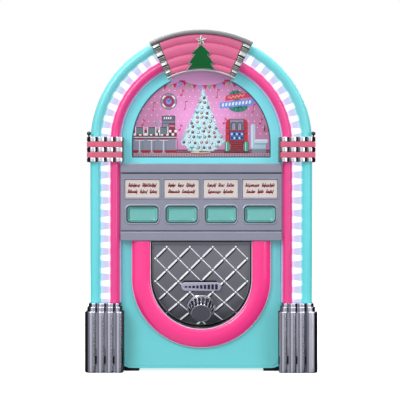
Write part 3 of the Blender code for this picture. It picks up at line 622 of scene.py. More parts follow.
def floor():
    me = bpy.data.meshes.new("floor")
    s = 14.0
    me.from_pydata([(-s, -s, 0), (s, -s, 0), (s, s, 0), (-s, s, 0)], [], [(0, 1, 2, 3)])
    m = finish_of("floor", (236, 236, 238), 0.7, vary=0.004, vary_scale=2.0, bump=0.0, spec=0.1, glow=0.62, glow_rgb=(255, 255, 255))
    me.materials.append(m)
    o = bpy.data.objects.new("floor", me)
    bpy.context.scene.collection.objects.link(o)
    o.visible_glossy = False
    o.visible_diffuse = False


floor()


def studio():
    w = bpy.data.worlds.new("studio")
    bpy.context.scene.world = w
    w.use_nodes = True
    nt = w.node_tree
    nt.nodes.clear()
    out = nt.nodes.new("ShaderNodeOutputWorld")
    path = nt.nodes.new("ShaderNodeLightPath")
    seen = nt.nodes.new("ShaderNodeBackground")
    seen.inputs["Color"].default_value = (1, 1, 1, 1)
    def math_node(op, a, b=None, c=None):
        n = nt.nodes.new("ShaderNodeMath")
        n.operation = op
        for k, v in enumerate((a, b, c)):
            if v is None:
                continue
            if isinstance(v, (int, float)):
                n.inputs[k].default_value = v
            else:
                nt.links.new(v, n.inputs[k])
        return n.outputs[0]

    def span(value, lo, hi, to_lo=0.0, to_hi=1.0):
        n = nt.nodes.new("ShaderNodeMapRange")
        n.interpolation_type = "SMOOTHSTEP"
        for key, v in (("From Min", lo), ("From Max", hi), ("To Min", to_lo), ("To Max", to_hi)):
            n.inputs[key].default_value = v
        nt.links.new(value, n.inputs["Value"])
        return n.outputs["Result"]

    coord = nt.nodes.new("ShaderNodeTexCoord")
    sep = nt.nodes.new("ShaderNodeSeparateXYZ")
    nt.links.new(coord.outputs["Generated"], sep.inputs["Vector"])
    soft = nt.nodes.new("ShaderNodeBackground")
    soft.inputs["Color"].default_value = (0.94, 0.96, 1.0, 1)
    nt.links.new(span(sep.outputs["Z"], -0.5, 0.3, 0.46, 0.62), soft.inputs["Strength"])
    # what polished parts mirror: a broad bright sweep on the left, a dark strip right of the middle,
    # a lighter right side and dark far corners; bright overhead, dimmer towards the table
    turn = math_node("ARCTAN2", sep.outputs["X"], math_node("MULTIPLY", sep.outputs["Y"], -1.0))
    turn = math_node("ADD", turn, span(sep.outputs["Z"], -0.09, 0.0, 0.42, 0.0))
    around = nt.nodes.new("ShaderNodeMapRange")
    around.inputs["From Min"].default_value = -math.pi
    around.inputs["From Max"].default_value = math.pi
    nt.links.new(turn, around.inputs["Value"])
    ramp = nt.nodes.new("ShaderNodeValToRGB")
    stops = (
        (-180, 0.20), (-124, 0.20), (-104, 0.02), (-92, 0.015), (-76, 0.05), (-66, 0.45), (-54, 0.95), (-30, 1.05), (0, 0.98), (20, 0.86),
        (32, 0.42), (44, 0.26), (56, 0.30), (64, 0.36), (72, 0.10), (82, 0.02), (104, 0.02), (122, 0.20), (150, 0.26),
    )
    ramp.color_ramp.elements[0].position = 0.0
    ramp.color_ramp.elements[1].position = 1.0
    for i, (deg, v) in enumerate(stops):
        e = ramp.color_ramp.elements[0] if i == 0 else ramp.color_ramp.elements.new((deg + 180) / 360)
        e.color = (v * 0.98, v * 0.98, v * 1.03, 1)
    ramp.color_ramp.elements[-1].color = (0.02, 0.02, 0.02, 1)
    nt.links.new(around.outputs["Result"], ramp.inputs["Fac"])
    level = nt.nodes.new("ShaderNodeVectorMath")
    level.operation = "SCALE"
    nt.links.new(ramp.outputs["Color"], level.inputs[0])
    nt.links.new(span(sep.outputs["Z"], -0.11, 0.02, 0.56, 1.0), level.inputs["Scale"])
    over = nt.nodes.new("ShaderNodeMix")
    over.data_type = "RGBA"
    nt.links.new(span(sep.outputs["Z"], 0.16, 0.55), over.inputs["Factor"])
    nt.links.new(level.outputs["Vector"], over.inputs[6])
    over.inputs[7].default_value = (1.12, 1.12, 1.15, 1)
    # the dark end of the room straight in front
    ahead = nt.nodes.new("ShaderNodeVectorMath")
    ahead.operation = "DOT_PRODUCT"
    ahead.inputs[1].default_value = (0.0, -0.9848, 0.1736)
    nt.links.new(coord.outputs["Generated"], ahead.inputs[0])
    mix = nt.nodes.new("ShaderNodeMix")
    mix.data_type = "RGBA"
    nt.links.new(span(ahead.outputs["Value"], 0.990, 0.9955), mix.inputs["Factor"])
    nt.links.new(over.outputs[2], mix.inputs[6])
    mix.inputs[7].default_value = (0.03, 0.03, 0.035, 1)
    mirror = nt.nodes.new("ShaderNodeBackground")
    nt.links.new(mix.outputs[2], mirror.inputs["Color"])
    mix1 = nt.nodes.new("ShaderNodeMixShader")
    nt.links.new(path.outputs["Is Glossy Ray"], mix1.inputs["Fac"])
    nt.links.new(soft.outputs[0], mix1.inputs[1])
    nt.links.new(mirror.outputs[0], mix1.inputs[2])
    mix2 = nt.nodes.new("ShaderNodeMixShader")
    nt.links.new(path.outputs["Is Camera Ray"], mix2.inputs["Fac"])
    nt.links.new(mix1.outputs[0], mix2.inputs[1])
    nt.links.new(seen.outputs[0], mix2.inputs[2])
    nt.links.new(mix2.outputs[0], out.inputs["Surface"])


studio()


def softbox(name, place, aim, w, h, watts, tint=(1, 1, 1)):
    d = bpy.data.lights.new(name, "AREA")
    d.shape = "RECTANGLE"
    d.size, d.size_y = w, h
    d.energy = watts
    d.color = tint
    o = bpy.data.objects.new(name, d)
    bpy.context.scene.collection.objects.link(o)
    o.location = place
    o.rotation_mode = "QUATERNION"
    o.rotation_quaternion = (Vector(aim) - Vector(place)).to_track_quat("-Z", "Y")


softbox("key", (-1.0, -1.5, 1.15), (0, 0, 0.16), 0.9, 0.9, 17.0)
softbox("fill", (1.3, -1.3, 0.55), (0, 0, 0.15), 0.7, 1.0, 6.5, (0.96, 0.98, 1.0))
softbox("top", (0.0, 0.1, 1.5), (0, 0, 0.1), 1.4, 1.0, 17.0)
softbox("rear", (0.5, 1.5, 1.0), (0, 0, 0.15), 1.0, 0.9, 15.0)

# ------------------------------------------------------------------ front housing
CASE = arch_outline(CASE_W, CASE_FLOOR, 144, corner=3.0)


def face_edge():
    """Edge of the raised face: inside the lit bands above, drawn in towards the foot below."""
    half = [(71.4, ARCH_Z)]
    half += [(71.4, z) for z in (170.0, 120.0, 80.0)] + [(71.3, 58.0), (71.2, 44.0), (71.0, 32.0), (70.5, 20.0), (69.8, 12.0)]
    half += [(69.0, 8.8), (68.2, 6.8), (67.0, 5.4), (65.2, 4.5), (63.0, CASE_FLOOR)]
    top = arc(0, ARCH_Z, 71.4, 0, 180, 128)
    return top + [(-x, z) for x, z in half[1:]] + [(x, z) for x, z in half[::-1]][:-1]


window = arch_outline(WIN_R, WIN_Z0, 128, corner=0.8)


def behind_crest(line, r):
    """The arch opens a little wider where the crest hangs over it."""
    out = []
    for x, z in line:
        if z > ARCH_Z and abs(x) < math.sin(math.radians(25.2)) * math.hypot(x, z - ARCH_Z):
            k = r / math.hypot(x, z - ARCH_Z)
            x, z = x * k, ARCH_Z + (z - ARCH_Z) * k
        out.append((x, z))
    return out


window = behind_crest(window, 65.6)
u_hole = [(52.0, 119.5), (-52.0, 119.5)] + arc(0, U_Z, 52.0, 180, 360, 48)
slot_hole = rounded_rect(0, 140.4, 132.0, 21.8, 1.0, 3)
edge = face_edge()
outer_ring = inset(turn_to(edge, True), -1.5)
shell = [
    # the raised face with its window, grille and selector openings
    plate(edge, [window, u_hole, slot_hole], [(0, Y_FACE + 2.5), (0, Y_FACE + 1.0)] + fillet(Y_FACE, 0.9, 1, 6),
          [(0, Y_FACE + 2.5)] + fillet(Y_FACE, 0.9, 1, 5)),
    # the margin under the lit bands
    plate(CASE, [outer_ring], [(0, Y_FACE + 2.5), (0, Y_FACE)], [(0, Y_FACE + 2.5), (0, Y_FACE)]),
    # the floor of the groove between them
    plate(inset(turn_to(edge, True), -1.8), [inset(turn_to(edge, True), 3.0)], [(0, Y_FACE + 2.5), (0, Y_FACE + 1.3)]),
    # the side wall, open to the rear
    plate(CASE, [inset(turn_to(CASE, True), WALL)], [(0, Y_FACE + 1.0), (0, Y_SPLIT - 0.35), (0.3, Y_SPLIT - 0.15)]),
]
for x, z in POSTS:
    shell.append(turned_y([(3.4, Y_FACE + 2.0), (3.4, Y_SPLIT - 1.2), (1.35, Y_SPLIT - 1.2), (1.35, Y_SPLIT - 18), (0.02, Y_SPLIT - 18), (0.02, Y_FACE + 2.0)], 24, x, z))
housing_front = piece("front_housing", shell, [TEAL, TEAL_LIT, TEAL_RIM_HIGHLIGHT, TEAL_EDGE], stands_for=["front_shell"], sharp=34)
for poly in housing_front.data.polygons:
    # painted light: faces high up round the window take the brighter, more self-lit teal
    pts = [housing_front.data.vertices[v].co for v in poly.vertices]
    if max(p.z for p in pts) > 0.190 and max(p.y for p in pts) < -0.0325:
        poly.material_index = 1
    # painted highlight: the fillets of the raised face, round its edge and openings, take the pale rim teal below 80 mm
    # and the duller edge teal above
    mid = poly.center
    if -0.0358 < mid.y < -0.0351 and abs(poly.normal.y) < 0.95:
        poly.material_index = 2 if mid.z < 0.08 else 3

# ------------------------------------------------------------------ rear cover
BAY = (-30.5, 30.5, 17.5, 69.5)
VENT_Z = [118.0 + 6.0 * i for i in range(6)]
case = turn_to(CASE, True)
R_EDGE = 5.0
holes = [rounded_rect(0, 43.5, 61.0, 52.0, 1.0, 4)] + [rounded_rect(0, z, 52, 2.4, 1.1, 6) for z in VENT_Z]
holes += [rounded_rect(50, 30, 10.0, 4.2, 1.9, 8), rounded_rect(50, 49.5, 13.2, 4.2, 0.4, 3)]
holes += [arc(x, z, 3.3, 0, 360, 32)[:-1] for x, z in POSTS]
rear = []
face_line = inset(case, R_EDGE)
rear.append(plate(face_line, holes, [(0, Y_BACK - WALL), (0, Y_BACK)], [(0, Y_BACK - WALL), (0, Y_BACK - 0.35)] + fillet(Y_BACK, 0.35, -1, 3)[1:]))
wall_prof = [(0, Y_SPLIT + 0.15 + 0.3), (0.3, Y_SPLIT + 0.15), (WALL, Y_SPLIT + 0.15), (WALL, Y_BACK - R_EDGE)]
for i in range(1, 7):
    a = math.pi / 2 * i / 6
    wall_prof.append((R_EDGE - (R_EDGE - WALL) * math.cos(a), Y_BACK - R_EDGE + (R_EDGE - WALL) * math.sin(a)))
for i in range(9):
    a = math.pi / 2 * (8 - i) / 8
    wall_prof.append((R_EDGE - R_EDGE * math.cos(a), Y_BACK - R_EDGE + R_EDGE * math.sin(a)))
wall_loops = []
rings = [inset(case, d) for d, _ in wall_prof]
for k in range(len(case)):
    wall_loops.append([(ring[k][0], y, ring[k][1]) for ring, (_, y) in zip(rings, wall_prof)])
rear.append(loft(wall_loops, ring=True))
for x, z in POSTS:
    rear.append(turned_y([(5.0, Y_SPLIT + 0.4), (5.0, Y_BACK - WALL + 0.1), (3.3, Y_BACK - WALL + 0.1), (3.3, Y_SPLIT + 3.0), (1.5, Y_SPLIT + 3.0), (1.5, Y_SPLIT + 0.4)], 32, x, z))
# a raised bead round the vents
bead = rounded_rect(0, 133.0, 62.0, 44.0, 3.0, 8)
rear.append(plate(bead, [inset(turn_to(bead, True), 1.2)], [(0, Y_BACK - 0.5), (0, Y_BACK - 0.05)], [(0, Y_BACK - 0.5), (0, Y_BACK - 0.05)]))
piece("rear_housing", rear, [TEAL_BACK], stands_for=["rear_cover"], sharp=34)


# ------------------------------------------------------------------ the lit bands
def half_round(r0, r1, y_back, y_spring, y_crown, steps=22, lip=0.0):
    mid, half = (r0 + r1) / 2, (r1 - r0) / 2
    pts = [(r0, y_back)]
    for i in range(steps + 1):
        a = math.pi * (1 - i / steps)
        pts.append((mid + half * math.cos(a), y_spring + (y_crown - y_spring) * math.sin(a)))
    return pts + [(r1, y_back)]


tube = piece("tube_teal", [swept(half_round(R_LED_OUT + 0.15, R_TUBE_OUT, Y_SEAT, -41.0, Y_TUBE), arch_frames(BAND_FOOT_Z))], [TEAL_TUBE, ARCH_TUBE_SHEEN],
             stands_for=["outer_tube"], sharp=50)
for poly in tube.data.polygons:
    # painted sheen: the arch takes a paler, more self-lit teal than the straight legs, for the broad light along its
    # curve; it is one piece, and the change lies at the brackets
    if poly.center.z > 0.2:
        poly.material_index = 1
# painted highlight: a pale, self-lit lip along the pink tube's inner edge
pale_lip = [(71.95, -35.2), (71.95, -37.6), (72.2, -38.0), (72.6, -38.1), (72.88, -37.9), (72.88, -35.2)]
piece("tube_pink", [swept(half_round(R_PINK_IN, R_LED_IN - 0.15, Y_SEAT, -41.0, Y_TUBE), arch_frames(BAND_FOOT_Z)), swept(pale_lip, arch_frames(BAND_FOOT_Z), 1)], [PINK_TUBE, PALE_LIP_HIGHLIGHT],
      stands_for=["inner_tube"], sharp=50)


def diffuser():
    """Milky channel between the tubes. UV 'along' counts lamps along it and measures across it."""
    d0, d1 = R_LED_IN + 0.15, R_LED_OUT - 0.15
    section = [(d0, Y_SEAT), (d0, -41.0), (d0 + 0.35, -41.5), (d0 + 1.2, -41.8)]
    section += [(d0 + 1.2 + (d1 - d0 - 2.4) * i / 6, -41.8 - 0.25 * math.sin(math.pi * i / 6)) for i in range(1, 6)]
    section += [(d1 - 1.2, -41.8), (d1 - 0.35, -41.5), (d1, -41.0), (d1, Y_SEAT), (d1 - 1.5, Y_SEAT), (d1 - 1.5, -39.6), (d0 + 1.5, -39.6), (d0 + 1.5, Y_SEAT)]
    stations, phase = [], []
    foot, pitch, turn = BAND_FOOT_Z, 11.4, 7.45
    legs = 20
    for i in range(legs):
        z = foot + (ARCH_Z - foot) * i / legs
        stations.append((0.0, z, -1.0, 0.0))
        phase.append(0.5 + (z - 67.5) / pitch)
    start = 0.5 + (ARCH_Z - 67.5) / pitch
    steps = 192
    # round the arch the lamps sit every turn degrees, the first just above the bracket
    for i in range(steps + 1):
        deg = 180.0 * i / steps
        a = math.radians(180 - deg)
        stations.append((0.0, ARCH_Z, math.cos(a), math.sin(a)))
        up = deg if deg <= 90 else 180 - deg
        phase.append(0.5 + (up - 7.3) / turn + 100)
    for i in range(legs):
        z = foot + (ARCH_Z - foot) * (legs - 1 - i) / legs
        stations.append((0.0, z, 1.0, 0.0))
        phase.append(0.5 + (z - 67.5) / pitch)
    obj = piece("light_channel", [swept(section, stations)], [LIT], stands_for=["led_diffuser"], sharp=40)
    me = obj.data
    layer = me.uv_layers.new(name="along")
    for poly in me.polygons:
        pts = [me.vertices[me.loops[li].vertex_index].co * 1000 for li in poly.loop_indices]
        mid = sum(pts, Vector()) / len(pts)
        straight = mid.z < ARCH_Z - 0.01
        for li, p in zip(poly.loop_indices, pts):
            if straight:
                u = 0.5 + (p.z - 67.5) / pitch
                r = abs(p.x)
            else:
                r = math.hypot(p.x, p.z - ARCH_Z)
                deg = math.degrees(math.atan2(max(0.0, p.z - ARCH_Z), abs(p.x)))
                u = 0.5 + (deg - 7.3) / turn
            layer.data[li].uv = (u, min(1.0, max(0.0, (r - d0) / (d1 - d0))))
    return obj


diffuser()

# ------------------------------------------------------------------ crest
saddle = [
    (CREST_R0 + 0.3, Y_SEAT), (R_PINK_IN - 0.4, Y_SEAT), (R_PINK_IN - 0.4, -41.4), (R_PINK_IN + 0.4, -45.0),
    ((R_PINK_IN + R_LED_IN) / 2, -46.6), (R_LED_IN - 0.6, -45.0), (R_LED_IN + 0.2, -42.4), (R_LED_OUT - 0.2, -42.4),
    (R_LED_OUT + 0.7, -45.0), ((R_LED_OUT + R_TUBE_OUT) / 2, -46.6), (R_TUBE_OUT - 0.5, -45.0), (R_TUBE_OUT + 0.5, -41.4),
    (R_TUBE_OUT + 0.5, -30.0), (CREST_R1 - 0.3, -30.0), (CREST_R1 - 0.3, -48.6), (CREST_R0 + 0.3, -48.6),
]


def bar_profile(depth=2.2):
    """Beads up the side of the crest: crowned lobes with tight grooves between."""
    pts = [(LOBES[0] - 1.1, -48.4)]
    for r0, r1 in zip(LOBES, LOBES[1:]):
        n = 12
        for i in range(n + 1):
            t = i / n
            pts.append((r0 + 0.12 + (r1 - r0 - 0.24) * t, -52.5 + depth * (1 - math.sin(math.pi * t) ** 0.42)))
    return pts + [(LOBES[-1] + 0.4, -48.4)]


def crowned_sector(profile, a0, a1, steps, crown, mat=0, mats=None):
    """A swept sector whose front falls away towards its two ends."""
    loops = []
    for k, (x, z, ux, uz) in enumerate(sector_frames(a0, a1, steps)):
        t = abs(2 * k / steps - 1)
        drop = crown * (1 - math.sqrt(max(0.0, 1 - t**4)))
        loops.append([(x + r * ux, min(-48.4, y + drop) if y < -48.5 else y, z + r * uz) for r, y in profile])
    return loft(loops, mat, mats=mats)


lip = [(96.9, -48.0), (96.9, -51.6)] + [(98.9 + 2.0 * math.cos(math.radians(a)), -51.3 - 1.2 * math.sin(math.radians(a))) for a in range(180, -1, -15)]
lip += [(CREST_R1, -30.0), (99.9, -30.0), (99.9, -48.0)]
rim_in = [(64.0, -36.4), (64.0, -51.6)] + [(64.75 + 0.75 * math.cos(math.radians(a)), -51.8 - 0.7 * math.sin(math.radians(a))) for a in range(180, -1, -20)] + [(65.5, -48.0), (64.9, -36.4)]
crest = [swept(saddle, sector_frames(-CREST_HALF + 0.05, CREST_HALF - 0.05, 64)),
         swept(lip, sector_frames(-CREST_HALF, CREST_HALF, 72), 1),
         swept(rim_in, sector_frames(-CREST_HALF, CREST_HALF, 72))]
for s in (-1, 1):
    a, b = sorted((s * (CREST_BAR + 0.15), s * (CREST_HALF - 0.05)))
    # painted reflection: the sides of each lobe step through grey, dark, near-black and bright bar metal, stripes of
    # mirrored light
    tones = [2] + (([2, 3, 2, 3, 2, 4, 4, 0, 0, 0, 0, 0, 3] if s < 0 else [2, 3, 2, 3, 2, 4, 4, 0, 0, 0, 0, 0, 3]) * (len(LOBES) - 1)) + [2]
    line = bar_profile()
    crest.append(crowned_sector(line, a, b, 16, 1.1, mats=tones))
piece("crest_body", crest, [BAR_WHITE, SATIN, BAR_GREY_REFLECTION, BAR_DARK_REFLECTION, PAINTED_SHADOW], stands_for=["crest_frame"], sharp=38)

fan = [(LOBES[0] + 0.15, -48.9)]
for r0, r1 in zip(LOBES, LOBES[1:]):
    for i in range(17):
        t = i / 16
        fan.append((r0 + (r1 - r0) * t, -50.0 - 1.5 * math.sin(math.pi * t) ** 0.55))
fan += [(LOBES[-1] - 0.1, -48.9)]
piece("crest_fan", [swept(tidy(fan), sector_frames(-CREST_BAR + 0.3, CREST_BAR - 0.3, 72))], [CREST_PINK], stands_for=["crest_panel"], sharp=24)

half_tree = [(0.0, 291.4), (2.6, 289.4), (9.1, 282.9), (5.9, 282.3), (11.5, 274.7), (8.7, 274.0), (13.1, 268.5)]
foot_of_tree = [(6.6, 269.6), (0.0, 269.9)]
tree = half_tree + foot_of_tree + [(-x, z) for x, z in reversed((half_tree + foot_of_tree)[1:-1])]
piece("crest_tree_badge",
      [plate(tree, [], [(0, -51.75), (0, -52.6)] + fillet(-53.0, 0.35, 1, 3)[1:], mat=0, rim=1)],
      [TREE_GREEN, CHROME], stands_for=["crest_tree"], sharp=30)


def star(cx, cz, r0, r1, y0, y1, yb):
    rim = []
    for i in range(10):
        a = math.radians(90 + 36 * i)
        r = r0 if i % 2 == 0 else r1
        rim.append((cx + r * math.cos(a), cz + r * math.sin(a)))
    loops = [[(x, yb, z) for x, z in rim], [(x, y0, z) for x, z in rim]]
    small = inset(turn_to(rim, True), 0.25)
    loops.append([(x, y0 - 0.12, z) for x, z in small])
    pts, faces, mats = loft(loops)
    faces, mats = faces[:-1], mats[:-1]
    pts.append((cx, y1, cz))
    # painted light: the facets alternate between the lit and the dim material
    for i in range(10):
        faces.append((20 + i, 20 + (i + 1) % 10, 30))
        mats.append(i % 2)
    return pts, faces, mats


piece("crest_star_badge", [star(0, 295.0, 5.3, 2.15, -52.1, -53.9, -51.75)], [STAR_LIT, STAR_DIM], stands_for=["crest_star"], sharp=8, weighted=False)


# ------------------------------------------------------------------ fluted walls of pillars and brackets
def fluted(x_in, x_out, grooves, y_front, y_back, y_inner_back, depth, side_lobes, push=0.0, n=14, shades=(), ends=(0, 0), marks=None, last=None):
    """Plan of a strap round the front corner: inner back, round the front, outer back. shades gives the sides of a
    front lobe lit, shaded or dark material, a painted reflection; ends gives the mark of the inner start and how many
    of the front's last sides take mark 2, the painted groove shadow.
    """
    x0, x1, yf = x_in + push, x_out - push, y_front + push
    yg = yf + depth
    stops = [x0 + 0.4] + sorted(grooves) + [x1 - depth]
    pts = [(x0, y_inner_back), (x0, yg + 1.6), (x0 + 0.1, yg + 0.5)]

    def lobe(p, q):
        length = math.hypot(q[0] - p[0], q[1] - p[1])
        nx, ny = (q[1] - p[1]) / length, -(q[0] - p[0]) / length
        # a circular arc that rises by depth over the chord
        big = (length * length / 4 + depth * depth) / (2 * depth)
        reach = math.asin(min(1.0, length / 2 / big))
        if depth > length / 2:
            reach = math.pi - reach
        for i in range(n):
            a = reach * (2 * i / n - 1)
            t = 0.5 + big * math.sin(a) / length
            b = big * math.cos(a) - (big - depth)
            pts.append((p[0] + (q[0] - p[0]) * t + nx * b, p[1] + (q[1] - p[1]) * t + ny * b))

    if marks is not None:
        marks += [ends[0]] * 3
    for k, (a, b) in enumerate(zip(stops, stops[1:])):
        lobe((a, yg), (b, yg))
        if marks is not None:
            row = list(shades if last is None or k < len(stops) - 2 else last)
            marks += row[:-ends[1]] + [2] * ends[1] if k == len(stops) - 2 and ends[1] else row
    # painted shadow: the side lobes take the groove shadow at their edges, and the first, round the corner, is half in
    # it
    for i in range(side_lobes):
        lobe((x1 - depth, yg + (y_back - yg) * i / side_lobes), (x1 - depth, yg + (y_back - yg) * (i + 1) / side_lobes))
        if marks is not None:
            marks += [2] + [0] * (n - 2) + [2] if i else [2] * (n // 2) + [0] * (n - n // 2 - 1) + [2]
    if marks is not None:
        marks.append(0)
    return pts + [(x1 - depth, y_back)]


def pillar(screen_right):
    """Half-round flutes with two stepped caps. The sides of each lobe take plated, shaded and ridge-lit plating, a
    painted reflection, and a painted shadow stripe runs in each groove between front lobes: widest from 8 to 15 mm and
    on the caps, narrower from 6 to 22 mm, absent elsewhere.
    """
    # painted reflection and shadow: marks for the sides of one front lobe, in plated, shaded, groove-shadow and
    # ridge-lit material
    tones = [2] + [4] + [1] * 3 + [0] * 7 + [2] * 2 if screen_right else [2] * 2 + [0] * 7 + [1] * 3 + [4] + [2]
    slim = [4] * 2 + [1] * 3 + [0] * 8 + [2] if screen_right else [2] + [0] * 8 + [1] * 3 + [4] * 2
    plain = [4] * 2 + [1] * 3 + [0] * 8 + [1] if screen_right else [1] + [0] * 8 + [1] * 3 + [4] * 2
    open_in = [(CASE_W + 0.4, PIL_BACK), (CASE_W + 0.4, -46.5), (72.0, -46.5), (72.0, Y_SEAT)]
    shut_in = [(CASE_W + 0.4, PIL_BACK), (CASE_W + 0.4, Y_SEAT), (72.0, Y_SEAT - 0.01), (72.0, Y_SEAT)]
    z1, z2, z3 = PIL_Z
    rows = [(0.0, 0.9, open_in), (0.25, 0.45, open_in), (0.8, 0.12, open_in), (1.5, 0.0, open_in), (6.0, 0.0, open_in), (8.0, 0.0, open_in), (15.0, 0.0, open_in), (22.0, 0.0, open_in), (50.0, 0.0, open_in), (50.0, 0.0, shut_in)]
    for base, top, push, r in ((50.0, z1, 0.0, 0.7), (z1, z2, 1.9, 0.6), (z2, z3, 3.1, 0.6)):
        if base > 50:
            rows.append((base, push, shut_in))
        for i in range(5):
            a = math.pi / 2 * i / 4
            rows.append((top - r + r * math.sin(a), push + r - r * math.cos(a), shut_in))
    levels, mats = [], []
    for z, push, inner in rows:
        marks = []
        painted_lobe_shades = tones if 8.0 <= z < 15.0 or z > 50 else slim if 6.0 <= z < 22.0 else plain
        line = fluted(PIL_IN, PIL_OUT, PIL_GROOVES, Y_PIL, PIL_BACK, Y_SEAT, 2.0, 5, push, 14, painted_lobe_shades, (2, 2), marks, [1] * 5 + [0] * 2 + [4] * 5 + [2] * 2 if screen_right else None)
        line = [(max(x, CASE_W + 1.3), y) if y > Y_PIL + 7 and x > 90 else (x, y) for x, y in line]
        levels.append([(x, y, z) for x, y in line + inner])
        mats.append(marks + [0] * len(inner))
    return loft(levels, mats=mats)


def bracket(screen_right):
    """Three chrome bands of crowned lobes with flat seats for the pink strips between."""
    # painted reflection and shadow: marks for the sides of one front lobe, in shaded, bright and groove-shadow chrome
    tones = [1] * 5 + [0] * 7 + [2] * 2 if screen_right else [2] * 2 + [0] * 8 + [1] * 4
    inner = [(R_TUBE_OUT + 0.5, BRK_BACK), (R_TUBE_OUT + 0.5, -46.5), (R_PINK_IN - 0.5, -46.5), (R_PINK_IN - 0.5, Y_SEAT)]
    b = BRK_BANDS
    wall_y, wall_x = Y_BRK + 2.1, BRK_OUT - 1.2
    rows = []
    for k in (0, 2, 4):
        z0, z1, r = b[k], b[k + 1], 0.45
        if k:
            rows.append((z0, None))
        for i in range(5):
            a = math.pi / 2 * i / 4
            rows.append((z0 + r - r * math.cos(a), r - r * math.sin(a)))
        for i in range(5):
            a = math.pi / 2 * i / 4
            rows.append((z1 - r + r * math.sin(a), r - r * math.cos(a)))
        if k < 4:
            rows.append((z1, None))
    flat_line = fluted(BRK_IN, BRK_OUT, BRK_GROOVES, Y_BRK, BRK_BACK, Y_SEAT, 1.6, 4)
    flat_line = [(min(x, wall_x), max(y, wall_y)) for x, y in flat_line]
    levels, mats = [], []
    for z, push in rows:
        marks = []
        line = fluted(BRK_IN, BRK_OUT, BRK_GROOVES, Y_BRK, BRK_BACK, Y_SEAT, 1.6, 4, push or 0.0, 14, tones, (2, 4), marks)
        if push is None:
            line = flat_line
        levels.append([(x, y, z) for x, y in line + inner])
        mats.append(marks + [0] * len(inner))
    return loft(levels, mats=mats)


def finial():
    """A small ball on a collar, at the outer front corner of the bracket."""
    prof = [(0.02, -1.2), (1.0, -1.2), (1.0, -0.7), (0.75, -0.45), (0.7, 0.1)]
    prof += [(1.9 * math.cos(math.radians(a)), 2.3 + 1.9 * math.sin(math.radians(a))) for a in range(-62, 88, 8)]
    prof += [(0.02, 4.2)]
    # painted reflection: ball and collar take the dark chrome
    pts, faces, mats = turned(prof, 28, 3)
    return [(99.8 + p[0], -48.6 + p[1], BRK_BANDS[5] + 0.8 + p[2]) for p in pts], faces, mats


def inlay(z0, z1):
    """The pink strip between two chrome bands, with a faint swell at each lobe."""
    wall_y, wall_x = Y_BRK + 2.1, BRK_OUT - 1.2
    y0, y1 = wall_y - GAP, BRK_BACK - 2.0
    stops = [BRK_IN + 1.4] + sorted(BRK_GROOVES) + [BRK_OUT - 1.4]
    front = []
    for a, b in zip(stops, stops[1:]):
        for i in range(8):
            t = i / 8
            front.append((a + (b - a) * t, -0.72 - 0.62 * math.sin(math.pi * t)))
    front.append((BRK_OUT - 1.4, -0.9))
    xo = BRK_OUT - 0.15
    rows = []
    h0, h1, r = z0 + GAP, z1 - GAP, 0.4
    for i in range(5):
        a = math.pi / 2 * i / 4
        rows.append((h0 + r - r * math.cos(a), r - r * math.sin(a)))
    for i in range(5):
        a = math.pi / 2 * i / 4
        rows.append((h1 - r + r * math.sin(a), r - r * math.cos(a)))
    loops = []
    for z, push in rows:
        line = [(BRK_IN + 1.4, y0), (BRK_IN + 1.4 + push * 0.5, y0 - 0.45)]
        line += [(x, y0 + dy * (1 - push * 0.9)) for x, dy in front[1:]]
        line += [(xo - 0.35 - push, y0 - 0.9 + 0.4), (xo - push, y0 - 0.9 + 1.3), (xo - push, y1), (wall_x + GAP, y1), (wall_x + GAP, y0)]
        loops.append([(x, y, z) for x, y in line])
    return loft(loops)


for side, flip in (("right", False), ("left", True)):
    fit = mirrored if flip else (lambda s: s)
    piece("fluted_pillar_" + side, [fit(pillar(side == "right"))], [PLATED, PLATED_FLANK_SHADE, PAINTED_SHADOW, CHROME_DARK_REFLECTION, PLATED_RIDGE_HIGHLIGHT], stands_for=["pillar_" + side], sharp=40)
    # painted shade: the bead at the bracket's inner end takes the shaded chrome
    end_bead = box(BRK_IN - 0.1, BRK_IN + 1.2, -50.3, -37.0, BRK_BANDS[0] + 0.1, BRK_BANDS[5] - 0.1, 1, 0.5)
    piece("side_bracket_" + side, [fit(bracket(side == "right")), fit(finial()), fit(end_bead)], [CHROME, CHROME_FLANK_SHADE, PAINTED_SHADOW, CHROME_DARK_REFLECTION, CHROME], stands_for=["bracket_" + side], sharp=40)
    for level, z0, z1 in (("lower", BRK_BANDS[1], BRK_BANDS[2]), ("upper", BRK_BANDS[3], BRK_BANDS[4])):
        piece("inlay_%s_%s" % (side, level), [fit(inlay(z0, z1))], [BAND_PINK], stands_for=["bracket_band_%s_%s" % (side, level)], sharp=40)

# ------------------------------------------------------------------ selector panel
field = rounded_rect(0, 151.5, 2 * PANEL_W, 51.0, 0.8, 4)
pockets = [rounded_rect(x, CARD_Z, CARD_W, CARD_H, 0.6, 4) for x in SLOTS]
key_holes = [rounded_rect(x, KEY_Z, KEY_W + 0.9, KEY_H + 0.9, 3.6, 10) for x in SLOTS]
panel = [plate(field, pockets + key_holes, [(0, -40.6)] + fillet(Y_PANEL, 0.7, 1, 5), [(0, -40.6)] + fillet(Y_PANEL, 0.45, 1, 4))]
for z0, z1 in ((PANEL_Z0, PANEL_Z0 + BAR_T), (PANEL_Z1 - BAR_T, PANEL_Z1)):
    bar = rounded_rect(0, (z0 + z1) / 2, 2 * PANEL_W, z1 - z0, 0.8, 5)
    panel.append(plate(bar, [], [(0, Y_SEAT), (0, Y_BAR + 0.8)] + fillet(Y_BAR, 0.8, 1, 6)[1:]))
